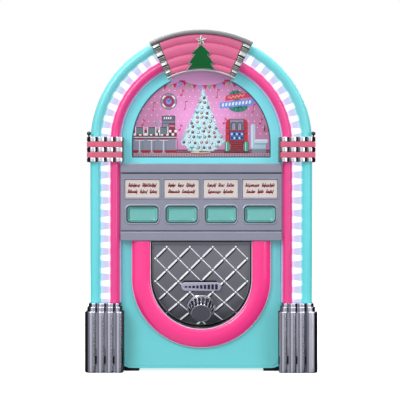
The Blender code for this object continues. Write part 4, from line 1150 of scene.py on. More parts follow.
# painted shade: the strips between the bars and the field take the darker groove grey
for z0, z1 in ((PANEL_Z0 + BAR_T - 0.3, 126.6), (176.4, PANEL_Z1 - BAR_T + 0.3)):
    panel.append(box(-PANEL_W + 0.2, PANEL_W - 0.2, -42.2, Y_SEAT, z0, z1, 1))
panel.append(plate(rounded_rect(0, 151.5, 2 * PANEL_W - 0.4, 68.0, 0.6, 4), [rounded_rect(0, 151.5, 2 * PANEL_W - 5.0, 63.6, 0.6, 4)], [(0, Y_SEAT), (0, -40.8)]))
for x in SLOTS:
    # the floor of each pocket and the raised rims round card and key
    panel.append(plate(rounded_rect(x, CARD_Z, CARD_W + 1.0, CARD_H + 1.0, 0.8, 4), [], [(0, -40.5), (0, -41.5)]))
    frame_out = rounded_rect(x, CARD_Z, CARD_W + 2.6, CARD_H + 2.6, 1.3, 6)
    frame_in = rounded_rect(x, CARD_Z, CARD_W + 0.1, CARD_H + 0.1, 0.6, 6)
    panel.append(plate(frame_out, [frame_in], [(0, -42.6)] + fillet(-43.5, 0.5, 1, 5), [(0, -42.6)] + fillet(-43.5, 0.5, 1, 5)))
    ring_out = rounded_rect(x, KEY_Z, KEY_W + 4.6, KEY_H + 4.4, 5.3, 10)
    ring_in = rounded_rect(x, KEY_Z, KEY_W + 1.0, KEY_H + 1.0, 3.65, 10)
    panel.append(plate(ring_out, [ring_in], [(0, -42.6), (0.05, -43.0), (0.45, -43.35), (0.95, -43.5)], [(0, -42.6)] + fillet(-43.5, 0.6, 1, 5)))
piece("selector_panel", panel, [SILVER, GROOVE_SHADE], stands_for=["control_panel"], sharp=34)


def scribble(cx, cz, width, seed, words):
    """A row of slanted pen strokes joined by hairlines: the look of handwriting from afar, with no letters in it."""
    rng = random.Random(seed)
    gap = width * 0.075
    unit = (width - gap * (len(words) - 1)) / sum(words)
    out, x = [], cx - width / 2
    for n in words:
        for k in range(n):
            tall = 3.5 if k == 0 else rng.choice((2.0, 2.1, 2.2, 3.1))
            deep = rng.choice((0.0, 0.0, 0.0, 0.8)) if k else 0.0
            z0, z1 = cz - 1.15 - deep, cz - 1.15 + tall
            lean = 0.30
            w = 0.6 if k else 0.72
            x0, x1 = x + unit * (k + 0.5) + lean * (z0 - cz), x + unit * (k + 0.5) + lean * (z1 - cz)
            bar = [(x0 - w / 2, z0 + 0.2), (x0 - w * 0.1, z0), (x0 + w / 2, z0 + 0.12), (x1 + w / 2, z1 - 0.25), (x1 + w * 0.1, z1), (x1 - w / 2, z1 - 0.12)]
            out.append((bar, -42.52))
            if k < n - 1:
                ax, bx = x + unit * (k + 0.5) - lean * 1.0, x + unit * (k + 1.5) + lean * 0.7
                za, zb = cz - 1.1, cz + 0.85 if rng.random() < 0.7 else cz - 0.2
                out.append(([(ax, za - 0.05), (ax + 0.5, za - 0.12), (bx, zb - 0.1), (bx - 0.1, zb + 0.32), (ax + 0.35, za + 0.42), (ax, za + 0.35)], -42.48))
        x += unit * n + gap
    return out


ROWS = (((9, 11), (8, 6, 6)), ((6, 5, 7), (9, 10)), ((7, 5, 6), (10, 8)), ((11, 10), (7, 5, 6)))
for i, x in enumerate(SLOTS):
    w, h = CARD_W - 0.6, CARD_H - 0.6
    card = [plate(rounded_rect(x, CARD_Z, w, h, 0.7, 4), [], [(0, -41.8)] + fillet(-42.4, 0.12, 1, 2))]
    for row, z in zip(ROWS[i], (CARD_Z + 3.0, CARD_Z - 2.7)):
        wide = min(27.0, 1.12 * (sum(row) + 1.2 * len(row)))
        for line, y in scribble(x, z, wide, 11 * i + len(card), row):
            card.append(plate(line, [], [(0, -42.3), (0, y)], mat=1))
    piece("card_%d" % (i + 1), card, [CARD, CARD_INK], stands_for=["title_card_%d" % (i + 1)], sharp=40)

for i, x in enumerate(SLOTS):
    def line_of(dw, dh, r):
        return rounded_rect(x, KEY_Z, KEY_W + dw, KEY_H + dh, r, 10)
    stem = rounded_rect(x, KEY_Z, 5.0, 5.0, 1.0, 10)
    flange = line_of(3.2, 3.2, 3.2)
    rows = [(stem, -34.8), (stem, -39.2), (flange, -39.2), (flange, -40.3), (line_of(0, 0, 3.2), -40.3), (line_of(0, 0, 3.2), -41.7)]
    for k in range(1, 5):
        a = math.pi / 2 * k / 4
        d = 0.8 - 0.8 * math.cos(a)
        rows.append((line_of(-2 * d, -2 * d, 3.2 - d * 0.8), -41.7 - 0.8 * math.sin(a)))
    # a shallow dish inside a rolled rim
    rows += [(line_of(-2.4, -2.2, 2.3), -42.4), (line_of(-3.4, -3.0, 2.0), -41.95), (line_of(-4.9, -4.0, 1.7), -41.35), (line_of(-6.6, -5.0, 1.5), -40.95),
             (line_of(-8.6, -6.4, 1.3), -40.78), (line_of(-13.0, -9.6, 1.0), -40.72)]
    loops = [[(px, y, pz) for px, pz in line] for line, y in rows]
    key = piece("key_%d" % (i + 1), [loft(loops)], [KEY_TEAL, KEY_SHADE], body="button_%d" % (i + 1), stands_for=["button_%d" % (i + 1)], sharp=42)
    for poly in key.data.polygons:
        # painted shade: the dish's slopes along its bottom, left and top take the darker teal
        c = poly.center
        dx, dz = c.x * 1000 - x, c.z * 1000 - KEY_Z
        if dz < 2.4 - KEY_H / 2 or dx < 2.2 - KEY_W / 2 or dz > KEY_H / 2 - 1.6:
            poly.material_index = 1

# ------------------------------------------------------------------ speaker surround
surround = [(45.35, -14.0), (45.35, -41.2), (45.6, -41.9), (46.1, -42.5), (46.9, -42.95), (48.0, -43.35), (49.8, -43.6), (52.0, -43.65),
            (54.0, -43.45), (56.0, -43.0), (58.0, -42.2), (59.8, -41.1), (61.0, -40.0), (61.8, -39.0), (U_OUT, -38.0), (U_OUT, Y_SEAT), (46.6, Y_SEAT), (46.6, -14.0)]
trim = [(44.95, -40.0), (44.95, -41.5), (45.1, -41.95), (45.4, -42.15), (45.75, -41.9), (45.75, -40.0)]
liner = [(44.8, -14.2), (44.8, -40.6), (44.92, -41.0), (45.1, -41.1), (45.3, -41.0), (45.3, -14.2)]
skirt = [(61.7, -37.2), (61.7, -38.5), (61.85, -38.8), (62.1, -38.9), (62.3, -38.7), (62.3, -37.2)]
# painted highlight: the trim along the inner edge and the skirt along the outer edge take the pale trim colour
piece("u_surround", [swept(surround, u_frames(U_TOP)), swept(trim, u_frames(U_TOP - 0.1), 1), swept(liner, u_frames(U_TOP - 0.2), 2), swept(skirt, u_frames(U_TOP - 0.1), 1)], [HOT_PINK, PALE_TRIM_HIGHLIGHT, LINER],
      stands_for=["grille_surround"], sharp=40)

# ------------------------------------------------------------------ bowed grille with its lattice
EDGE = U_IN - GAP
BOTTOM = U_Z - EDGE + 0.05


def run_table():
    """Pairs of (length down the bow, height) so that the lattice keeps its pitch along the surface."""
    out, s, z = [(0.0, 116.3)], 0.0, 116.3
    while z > 40.0:
        step = 0.25
        slope = 2 * BOW_K * max(0.0, BOW_Z - z + step / 2)
        s += step * math.sqrt(1 + slope * slope)
        z -= step
        out.append((s, z))
    return out


RUN = run_table()


def z_at(s):
    if s <= 0:
        return 116.3 - s
    k = min(len(RUN) - 2, int(s / RUN[-1][0] * (len(RUN) - 1)))
    while k > 0 and RUN[k][0] > s:
        k -= 1
    while k < len(RUN) - 2 and RUN[k + 1][0] < s:
        k += 1
    (s0, z0), (s1, z1) = RUN[k], RUN[k + 1]
    return z0 + (z1 - z0) * (s - s0) / (s1 - s0)


def s_at(z):
    best = min(range(len(RUN)), key=lambda k: abs(RUN[k][1] - z))
    return RUN[best][0]


def on_bow(x, s, h):
    """A point h in front of the bowed face."""
    z = z_at(s)
    slope = 2 * BOW_K * max(0.0, BOW_Z - z)
    d = math.sqrt(1 + slope * slope)
    return (x, grille_y(z) - h / d, z - h * slope / d)


def inside(x, s, margin):
    z = z_at(s)
    if s < margin:
        return False
    if z >= U_Z:
        return abs(x) < EDGE - margin
    return math.hypot(x, z - U_Z) < EDGE - margin


def ridge(line, half, tall, lift=0.0, mat=0):
    """A raised rib along points (x, s) on the bow, with sloped ends."""
    loops = []
    n = len(line)
    for i, (x, s) in enumerate(line):
        a, b = line[max(0, i - 1)], line[min(n - 1, i + 1)]
        dx, ds = b[0] - a[0], b[1] - a[1]
        d = math.hypot(dx, ds) or 1
        nx, ns = -ds / d, dx / d
        k = 1.0
        if i in (0, n - 1):
            k = 0.25
        loop = []
        for w, h in ((-1, -0.3), (-1, 0.12), (-0.62, 0.72), (-0.25, 0.98), (0.25, 0.98), (0.62, 0.72), (1, 0.12), (1, -0.3)):
            hh = h * tall if h < 0 else lift + h * tall * k
            loop.append(on_bow(x + nx * half * w * (0.6 + 0.4 * k), s + ns * half * w * (0.6 + 0.4 * k), hh))
        loops.append(loop)
    return loft(loops, mat)


def grille():
    shapes = []
    # the bowed back sheet
    rows = [116.3 - i * (116.3 - BOTTOM) / 60 for i in range(61)]
    loops = []
    for z in rows:
        half = EDGE if z >= U_Z else math.sqrt(max(0.6, EDGE**2 - (U_Z - z) ** 2))
        y = grille_y(z)
        loops.append([(-half, y, z), (-half / 3, y, z), (half / 3, y, z), (half, y, z), (half, y + 1.8, z), (-half, y + 1.8, z)])
    shapes.append(loft(loops))
    pitch = 10.3
    s0 = 4.9
    # diagonal ribs, broken at each crossing
    for lean in (1, -1):
        for k in range(-14, 15):
            # nodes lie where x / pitch + row is even
            seg = []
            for j in range(0, 12):
                x = (k + lean * j) * pitch
                seg.append((x, s0 + j * pitch))
            for (xa, sa), (xb, sb) in zip(seg, seg[1:]):
                if (k % 2) == 0:
                    continue
                pts = []
                for i in range(9):
                    t = 0.115 + 0.77 * i / 8
                    x, s = xa + (xb - xa) * t, sa + (sb - sa) * t
                    if inside(x, s, 1.0):
                        pts.append((x, s))
                if len(pts) > 2:
                    wide = lean < 0
                    # painted highlight: ribs and studs take a bright, self-lit metal
                    shapes.append(ridge(pts, 0.85 if wide else 0.45, 1.0, mat=1))
                    if wide:
                        # painted shadow: a low dark strip beside the broad rib
                        shapes.append(ridge([(x + 0.98, s + 0.98) for x, s in pts], 0.62, 0.3, mat=2))
    for j in range(0, 12):
        for k in range(-6, 7):
            if (k + j) % 2 == 0:
                continue
            x, s = k * pitch, s0 + j * pitch
            if not inside(x, s, 0.6):
                continue
            # a small four-sided stud at each crossing
            loops = []
            for r, h in ((0.95, -0.3), (0.95, 0.3), (0.6, 0.7), (0.2, 0.85)):
                loops.append([on_bow(x + r * math.cos(math.radians(a)), s + r * math.sin(math.radians(a)), h) for a in range(0, 360, 45)])
            shapes.append(loft(loops, 1))
    # the rolled rim that follows the edge of the sheet; the inner sides of its section take the near-black, a painted
    # shadow
    loops = []
    pts3 = []
    for i in range(0, 6):
        pts3.append((-EDGE, 114.6 - i * (114.6 - U_Z) / 6, -1.0, 0.0))
    for i in range(0, 97):
        a = math.pi * (1 + i / 96)
        pts3.append((EDGE * math.cos(a), U_Z + EDGE * math.sin(a), math.cos(a), math.sin(a)))
    for i in range(1, 7):
        pts3.append((EDGE, U_Z + i * (114.6 - U_Z) / 6, 1.0, 0.0))
    for x, z, ux, uz in pts3:
        loop = []
        for d, h in ((0.05, 0.6), (0.05, -0.4), (0.25, -0.9), (0.7, -1.15), (1.3, -1.0), (1.75, -0.5), (1.9, 0.2), (1.9, 0.6)):
            px, pz = x - ux * d, z - uz * d
            loop.append((px, grille_y(pz) + h, pz))
        loops.append(loop)
    shapes.append(loft(loops, 0, mats=[2, 2, 2, 0, 0, 0, 0, 0]))
    # the flat bar along its top edge
    shapes.append(box(-EDGE + 0.1, EDGE - 0.1, Y_GRILLE - 1.1, Y_GRILLE + 0.5, 113.4, 116.2, 0, 0.4))
    return shapes


# no hole is cut for the knob's shaft; the knob's skirt would cover one at every angle
piece("speaker_grille", grille(), [GRILLE, RIB_HIGHLIGHT, PAINTED_SHADOW], stands_for=["grille"], sharp=38)

# ------------------------------------------------------------------ volume plate and knob
KNOB_Y = grille_y(KNOB_Z)
KNOB_TILT = math.atan(2 * BOW_K * (BOW_Z - KNOB_Z))
KNOB_AT = Matrix.Translation(Vector((0, KNOB_Y, KNOB_Z))) @ Matrix.Rotation(math.pi / 2 + KNOB_TILT, 4, "X")
PLATE_Z = 76.1
PLATE_AT = Matrix.Translation(Vector((0, grille_y(PLATE_Z), PLATE_Z))) @ Matrix.Rotation(math.atan(2 * BOW_K * (BOW_Z - PLATE_Z)), 4, "X")
pill = rounded_rect(0, 0, 36.0, 8.1, 4.0, 14)
plate_parts = [plate(pill, [], [(0, -0.45)] + fillet(-2.2, 0.9, 1, 6))]
# painted shadow: a dark strip along the top edge of the plate
shade = rounded_rect(-1.0, 4.0, 30.0, 2.6, 1.2, 8)
plate_parts.append(plate(shade, [], [(0, -0.45), (0, -0.8)], mat=2))
for i in range(9):
    # a rising row of bars, the common sign for loudness
    x, h = -13.6 + 3.4 * i, 1.6 + 0.44 * i
    plate_parts.append(box(x - 1.15, x + 1.15, -2.34, -2.1, -h / 2, h / 2, 1, 0.06))
piece("volume_badge", [placed(s, PLATE_AT) for s in plate_parts], [LILAC, NAVY, PAINTED_SHADOW], stands_for=["volume_plate"], sharp=40)


def grip(r, h, a):
    """Eighteen scalloped flats cut round the crown."""
    if not 4.2 < h < 12.6 or r < 4:
        return r
    deep = 0.95 * math.sin(math.pi * min(1.0, max(0.0, (h - 4.2) / 8.4))) ** 0.5
    return r - deep * (0.5 + 0.5 * math.cos(18 * a)) ** 1.4


knob_profile = [(0.02, -7.0), (3.0, -7.0), (3.0, 1.6), (12.5, 1.6), (12.9, 2.0), (12.9, 2.7), (12.6, 3.1), (12.1, 3.3), (11.75, 3.1), (11.55, 3.4), (11.5, 4.0)]
knob_profile += [(11.5 - (11.5 - 9.2) * t / 10, 4.0 + 8.4 * t / 10) for t in range(1, 11)]
knob_profile += [(9.0, 12.8), (8.7, 13.0), (8.45, 12.95), (8.3, 12.6), (0.02, 12.6)]
face_profile = [(0.02, 12.3), (8.25, 12.3), (8.25, 12.75), (8.0, 12.92), (0.02, 12.98)]
crown = turned(knob_profile, 180, wave=grip)
# painted reflection: the scallops take the dark chrome and the ridges between them the bright chrome, with a wavy
# border

reflection_tints = []
for face in crown[1]:
    mid = [sum(crown[0][v][k] for v in face) / len(face) for k in range(3)]
    a, r = math.degrees(math.atan2(mid[1], mid[0])), math.hypot(mid[0], mid[1])
    wave = math.cos(math.radians(18 * a)) + 0.55 * math.cos(math.radians(36 * a + 40 * mid[2]))
    reflection_tints.append(2 if 4.0 < mid[2] < 12.7 and r > 8.6 and wave > -0.35 else 0)
crown = (crown[0], crown[1], reflection_tints)
knob = [placed(crown, KNOB_AT), placed(turned(face_profile, 96, 1), KNOB_AT)]
piece("knob", knob, [CHROME, KNOB_FACE, KNOB_DARK_REFLECTION], body="volume_knob", stands_for=["volume_knob"], sharp=28)


# ------------------------------------------------------------------ the lit scene behind the window
# The print is laid out on a grid of 0.9 mm: columns from its middle, rows up from the window's sill.
INKS, LAYERS = [], []
GRID = 0.9


def ink_index(rgb):
    if rgb not in INKS:
        INKS.append(rgb)
    return INKS.index(rgb)


def lay(points, rgb, level, clip=True):
    """One flat patch of ink on the film, as a thin closed plate; a higher level lies over a lower one."""
    pts = [(x * GRID, 192.0 + z * GRID) for x, z in points]
    if clip:
        pts = [held(p) for p in pts]
    pts = tidy(pts)
    if len(pts) < 3 or abs(area(pts)) < 0.02:
        return
    pts = turn_to(pts, True)
    y = -33.2 - 0.022 * level
    LAYERS.append(loft([[(x, -33.195, z) for x, z in pts], [(x, y, z) for x, z in pts]], ink_index(rgb)))


def held(p):
    """Keeps a point on the film."""
    x, z = p
    z = max(z, WIN_Z0 - 2.5)
    if z > ARCH_Z:
        d = math.hypot(x, z - ARCH_Z)
        if d > WIN_R + 3.4:
            k = (WIN_R + 3.4) / d
            return (x * k, ARCH_Z + (z - ARCH_Z) * k)
    return (max(-WIN_R - 2.5, min(WIN_R + 2.5, x)), z)


def disc(c, r, rgb, level, steps=16, squash=1.0):
    lay([(c[0] + r * math.cos(2 * math.pi * i / steps), c[1] + r * squash * math.sin(2 * math.pi * i / steps)) for i in range(steps)], rgb, level)


def block(a, b, rgb, level):
    (x0, z0), (x1, z1) = a, b
    lay([(x0, z0), (x1, z0), (x1, z1), (x0, z1)], rgb, level)


def stroke(points, width, rgb, level):
    left, right = [], []
    for i, (x, z) in enumerate(points):
        a, b = points[max(0, i - 1)], points[min(len(points) - 1, i + 1)]
        d = math.dist(a, b) or 1
        nx, nz = -(b[1] - a[1]) / d * width / 2, (b[0] - a[0]) / d * width / 2
        left.append((x + nx, z + nz))
        right.append((x - nx, z - nz))
    lay(left + right[::-1], rgb, level)


def diorama():
    # painted light: the wall's ink is lightest in the middle and darker towards its edges, a pool of backlight painted
    # into the print
    for i in range(-24, 24):
        for j in range(-1, 28):
            x, z = 3.0 * i, 3.0 * j
            if z > 14 and math.hypot(x + 1.5, z - 12.0) > 74:
                continue
            t = min(1.0, math.hypot(max(0.0, abs(x - 1.5) - 16.0) / 42.0, (z - 38.5) / 48.0))
            t = t * t * (3 - 2 * t)
            block((x, z), (x + 3.0, z + 3.0), tuple(round(a + (b - a) * t) for a, b in zip((232, 158, 212), (194, 128, 168))), 0.5)
    # polka dots over the wall
    for row in range(-9, 6):
        z = 66.6 + row * 6.19
        for col in range(-14, 15):
            x = -32.0 + (col + (0.5 if row % 2 else 0.0)) * 5.87 + 29.35
            if z < 22 or math.hypot(x, z - 13.5) > 69:
                continue
            disc((x, z), 0.55, (250, 204, 238), 1, 10)
    # the wall above the bunting
    line = [(-41.0, 71.2), (-36.1, 71.6), (-30.9, 72.4), (-25.5, 73.6), (-19.1, 75.7), (-14.5, 74.0), (-9.5, 72.6), (-3.5, 71.7), (2.5, 71.3), (8.5, 71.6), (14.5, 72.4), (20.5, 74.0), (25.9, 76.2), (30.5, 74.2), (35.5, 73.0), (40.0, 72.4)]
    for (xa, za), (xb, zb) in zip(line, line[1:]):
        lay([(xa, za), (xb, zb), (xb, 86.0), (xa, 86.0)], (220, 158, 208), 2)
    stroke(line, 0.5, (176, 70, 118), 3)
    for cx, cz in ((-19.1, 75.7), (25.9, 76.2)):
        disc((cx, cz), 1.2, (186, 40, 92), 4, 10)
        lay([(cx, cz), (cx - 2.8, cz + 1.4), (cx - 2.8, cz - 1.0)], (196, 48, 98), 4)
        lay([(cx, cz), (cx + 2.8, cz + 1.4), (cx + 2.8, cz - 1.0)], (196, 48, 98), 4)
    green, red, blue = (130, 160, 124), (192, 42, 100), (134, 158, 226)
    flags = (
        ((-40.2, 68.6), green), ((-36.4, 69.3), red), ((-31.2, 70.2), green), ((-26.4, 70.9), red), ((-21.7, 72.9), blue),
        ((-16.6, 73.0), red), ((-11.4, 71.1), green), ((-6.7, 70.2), red), ((-1.5, 69.8), blue), ((4.0, 69.7), red),
        ((8.4, 69.7), green), ((13.2, 70.0), red), ((18.2, 71.1), blue), ((22.8, 72.9), red), ((28.3, 72.9), green),
        ((33.4, 71.6), red), ((37.5, 70.4), blue),
    )
    for (x, z), c in flags:
        lay([(x - 2.1, z + 2.1), (x, z - 2.3), (x + 2.1, z + 2.1)], c, 4)
    # wall clock: a grey ring with four glints, a dark red ring and a blue dial
    c = (-32.5, 55.5)
    disc(c, 8.2, (92, 78, 104), 3, 40)
    disc(c, 7.6, (150, 138, 158), 4, 40)
    for a in (40, 140, 220, 320):
        arcs = [(c[0] + 6.5 * math.cos(math.radians(a + k)), c[1] + 6.5 * math.sin(math.radians(a + k))) for k in range(-18, 19, 6)]
        stroke(arcs, 1.5, (246, 238, 246), 5)
    disc(c, 5.6, (92, 56, 86), 5, 36)
    disc(c, 5.1, (158, 46, 82), 6, 36)
    disc(c, 2.9, (122, 142, 214), 7, 30)
    stroke([(c[0] - 1.6, c[1] + 1.4), c], 0.55, (34, 40, 104), 9)
    stroke([c, (c[0] + 1.8, c[1] + 2.2)], 0.6, (34, 40, 104), 9)
    # quavers on the wall
    note = (196, 44, 96)
    for (x, z), up in (((-47.1, 51.6), -1), ((-19.5, 62.4), 1), ((-15.4, 52.8), -1), ((-58.3, 32.4), 1), ((-21.2, 27.6), 1),
                       ((16.6, 64.5), -1), ((52.5, 49.8), -1), ((59.3, 33.8), 1), ((23.1, 34.2), 1)):
        if up > 0:
            disc((x - 0.6, z - 0.6), 1.25, note, 3, 12, 0.75)
            stroke([(x + 0.5, z - 0.6), (x + 0.7, z + 5.4)], 0.5, note, 3)
            lay([(x + 0.6, z + 5.5), (x + 2.4, z + 3.6), (x + 2.2, z + 2.2), (x + 0.6, z + 4.2)], note, 3)
        else:
            stroke([(x - 0.6, z - 5.0), (x - 0.4, z + 2.6)], 0.5, note, 3)
            lay([(x - 0.6, z + 2.8), (x + 1.8, z + 3.4), (x + 1.8, z + 2.2), (x - 0.6, z + 1.6)], note, 3)
            disc((x - 1.2, z - 5.0), 0.9, note, 3, 10, 0.8)
    # far shelf with bottles
    block((61.0, 24.4), (68.5, 25.6), (170, 120, 150), 3)
    for x, c in ((63.2, (120, 40, 60)), (65.4, (196, 110, 110)), (67.4, (92, 52, 60))):
        block((x - 0.8, 25.6), (x + 0.8, 29.8), c, 4)
        block((x - 0.35, 29.8), (x + 0.35, 31.8), c, 4)
    # floor, tiles and baseboard
    block((-71.5, -2.0), (70.5, 7.4), (108, 62, 80), 2)
    block((-71.5, 5.2), (70.5, 6.2), (140, 86, 104), 3)
    block((-71.5, -2.0), (70.5, 4.0), (196, 152, 164), 3)
    for i in range(56):
        block((-70.4 + 2.52 * i, 0.6), (-69.8 + 2.52 * i, 3.8), (136, 100, 116), 4)
    block((-71.5, 2.0), (70.5, 2.4), (158, 118, 134), 4)
    block((-71.5, -3.0), (70.5, 0.7), (112, 104, 124), 4)
    # the counter with its checkered rail
    block((-70.5, 5.5), (-25.7, 21.0), (132, 138, 156), 3)
    for i in range(4):
        block((-58.8 + 11.6 * i, 7.2), (-58.2 + 11.6 * i, 17.6), (104, 108, 128), 4)
    block((-70.5, 4.4), (-24.9, 6.9), (150, 30, 50), 4)
    block((-70.5, 20.0), (-24.7, 27.2), (70, 30, 46), 4)
    rng = random.Random(7)
    for r, z in enumerate((24.5, 21.4)):
        for i in range(17):
            x = -70.4 + 2.72 * i
            dark = rng.choice(((150, 24, 50), (150, 24, 50), (66, 26, 44)))
            block((x, z), (x + 2.5, z + 2.5), dark if (i + r) % 2 else (240, 232, 238), 5)
    block((-70.5, 20.2), (-24.5, 20.9), (44, 34, 48), 6)
    block((-70.5, 19.1), (-24.5, 20.2), (196, 196, 208), 6)
    block((-70.5, 17.9), (-24.5, 19.1), (112, 44, 62), 6)
    # till and glass on the counter
    block((-39.3, 27.2), (-26.0, 41.4), (70, 66, 86), 6)
    block((-38.7, 36.9), (-26.6, 40.8), (98, 98, 116), 7)
    for i in range(4):
        lay([(-37.6 + 2.1 * i, 37.8), (-36.4 + 2.1 * i, 37.8), (-36.0 + 2.1 * i, 39.9), (-37.2 + 2.1 * i, 39.9)], (232, 232, 240), 8)
    block((-39.3, 33.9), (-26.0, 36.3), (120, 124, 140), 7)
    block((-38.7, 27.8), (-32.6, 33.3), (128, 130, 148), 7)
    block((-32.0, 27.8), (-26.6, 33.3), (150, 34, 70), 7)
    block((-32.0, 30.6), (-26.6, 31.3), (214, 190, 206), 8)
    lay([(-46.3, 37.0), (-41.9, 37.0), (-42.9, 32.4), (-43.7, 31.6), (-43.7, 28.4), (-42.3, 27.2), (-45.9, 27.2), (-44.5, 28.4), (-44.5, 31.6), (-45.3, 32.4)], (162, 150, 178), 6)
    stroke([(-46.3, 37.0), (-45.3, 32.4), (-44.5, 31.4)], 0.4, (112, 100, 130), 7)
    stroke([(-43.4, 37.0), (-41.9, 40.6)], 0.4, (200, 120, 160), 7)
    # three stools with square backs
    for a in (-65.5, -53.5, -41.5):
        b = a + 8.1
        m = (a + b) / 2
        block((a + 0.3, 22.8), (b - 0.3, 29.8), (62, 50, 64), 9)
        block((a + 0.8, 22.8), (b - 0.8, 29.1), (104, 120, 126), 10)
        for x in (a, b):
            block((x - 0.45, 21.4), (x + 0.45, 30.2), (232, 230, 236), 10)
        block((a - 0.4, 17.2), (b + 0.4, 18.4), (136, 28, 54), 10)
        block((a - 0.4, 16.4), (b + 0.4, 17.2), (212, 212, 222), 10)
        block((m - 0.75, 4.6), (m + 0.75, 16.4), (202, 204, 216), 9)
        block((m + 0.25, 4.6), (m + 0.75, 16.4), (150, 152, 168), 10)
        lay([(m - 3.1, 2.6), (m - 1.2, 5.6), (m + 1.2, 5.6), (m + 3.1, 2.6)], (158, 152, 166), 10)
    # booth: back, cushions and base
    lay([(49.3, 8.5), (49.3, 31.5), (50.3, 33.0), (52.9, 33.0), (53.9, 31.5), (53.9, 8.5)], (188, 204, 226), 4)
    block((50.1, 9.5), (51.3, 32.0), (222, 234, 246), 5)
    lay([(53.1, 13.6), (53.1, 16.6), (54.1, 17.7), (65.7, 17.7), (66.7, 16.6), (66.7, 15.0), (64.9, 13.6)], (196, 220, 232), 6)
    block((53.7, 16.2), (65.5, 17.0), (226, 240, 246), 7)
    block((53.1, 12.6), (64.9, 13.6), (120, 150, 176), 6)
    block((52.5, 8.6), (64.5, 12.6), (176, 206, 220), 6)
    block((50.5, 3.8), (64.5, 8.6), (130, 138, 154), 5)
    block((50.5, 7.8), (64.5, 8.5), (176, 184, 200), 6)
    # small machine at the back, on the right
    lay([(24.3, 13.0), (24.3, 34.3), (25.8, 37.2), (28.5, 38.2), (42.2, 38.2), (44.9, 37.2), (46.4, 34.3), (46.4, 13.0)], (190, 48, 60), 4)
    for x in (27.9, 42.2):
        block((x, 14.0), (x + 0.7, 37.4), (96, 26, 42), 5)
    for z in (28.6, 23.0):
        block((24.3, z), (28.0, z + 0.6), (116, 28, 44), 5)
        block((42.8, z), (46.4, z + 0.6), (116, 28, 44), 5)
    block((28.6, 26.6), (42.2, 38.0), (122, 118, 140), 5)
    for x in (30.0, 36.0):
        stroke([(x, 27.2), (x, 32.6), (x + 1.2, 34.6), (x + 3.4, 34.6), (x + 4.8, 32.6), (x + 4.8, 27.2)], 0.7, (72, 62, 86), 6)
        stroke([(x + 1.6, 27.2), (x + 1.6, 33.2), (x + 3.0, 33.2), (x + 3.0, 27.2)], 0.6, (190, 180, 200), 7)
    block((28.6, 35.6), (42.2, 36.2), (190, 186, 204), 6)
    block((28.6, 25.0), (42.2, 26.6), (138, 30, 46), 6)
    block((29.0, 17.0), (42.0, 25.0), (66, 104, 176), 6)
    for k in range(5):
        for r in range(2):
            x, z = 30.6 + 2.5 * k, 19.0 + 3.9 * r
            lay([(x - 1.1, z), (x, z - 1.5), (x + 1.1, z), (x, z + 1.5)], (196, 220, 246) if (k + r) % 2 else (26, 34, 66), 7)
    block((29.0, 6.2), (42.0, 16.6), (122, 28, 42), 6)
    for i in range(5):
        block((29.6, 7.4 + 1.9 * i), (41.4, 7.9 + 1.9 * i), (166, 62, 74), 7)
    for x in (23.6, 42.6):
        block((x, 5.6), (x + 4.6, 15.4), (30, 92, 80), 6)
        block((x + 0.5, 5.9), (x + 4.1, 15.0), (66, 168, 140), 7)
        block((x + 1.2, 6.2), (x + 2.0, 14.6), (196, 234, 220), 8)
    block((23.1, 3.8), (47.9, 5.7), (84, 40, 56), 6)
    # hanging sign: two ribbons over sprigs of fir, with plain marks in place of words
    needles = ((36, 108, 98), (74, 152, 130), (48, 128, 112))
    disc((34.6, 61.4), 6.6, (52, 128, 114), 3, 20, 0.8)
    disc((36.8, 50.2), 9.6, (52, 128, 114), 3, 24, 0.56)
    for k in range(15):
        a = math.radians(12 + 11.2 * k)
        reach = 6.2 + 1.2 * math.sin(2.3 * k)
        x, z = 34.6 + 3.4 * math.cos(a), 61.0
        lay([(x - 1.5 * math.sin(a), z), (x + reach * math.cos(a), z + reach * math.sin(a)), (x + 1.5 * math.sin(a), z)], needles[k % 3], 4)
    for k in range(17):
        a = math.radians(188 + 9.7 * k)
        reach = 7.2 + 1.4 * math.sin(1.9 * k)
        x, z = 36.6 + 4.6 * math.cos(a), 51.6
        lay([(x - 1.4 * math.sin(a), z), (x + 1.4 * math.sin(a), z), (x + reach * math.cos(a), z + reach * math.sin(a))][::-1], needles[k % 3], 4)
    lay([(24.0, 55.8), (24.0, 61.2), (39.4, 63.8), (51.2, 63.9), (49.4, 61.8), (51.2, 59.8), (39.4, 58.4)], (212, 66, 106), 6)
    stroke([(27.0 + 0.9 * i, 59.0 + 0.16 * i + 1.1 * math.sin(1.5 * i)) for i in range(19)], 0.7, (238, 186, 132), 7)
    lay([(18.6, 48.4), (18.6, 54.2), (52.6, 58.2), (52.6, 52.0)], (112, 150, 224), 7)
    for i in range(9):
        x, z = 21.4 + 3.35 * i, 50.3 + 0.37 * i
        lay([(x - 0.9, z), (x + 0.9, z + 0.2), (x + 1.5, z + 3.3), (x - 0.3, z + 3.1)], (238, 242, 254), 8)
    fir_tree()


def across(side, z):
    for (xa, za), (xb, zb) in zip(side, side[1:]):
        if za >= z >= zb:
            return xa + (xb - xa) * (za - z) / (za - zb)
    return side[0][0] if z > side[0][1] else side[-1][0]


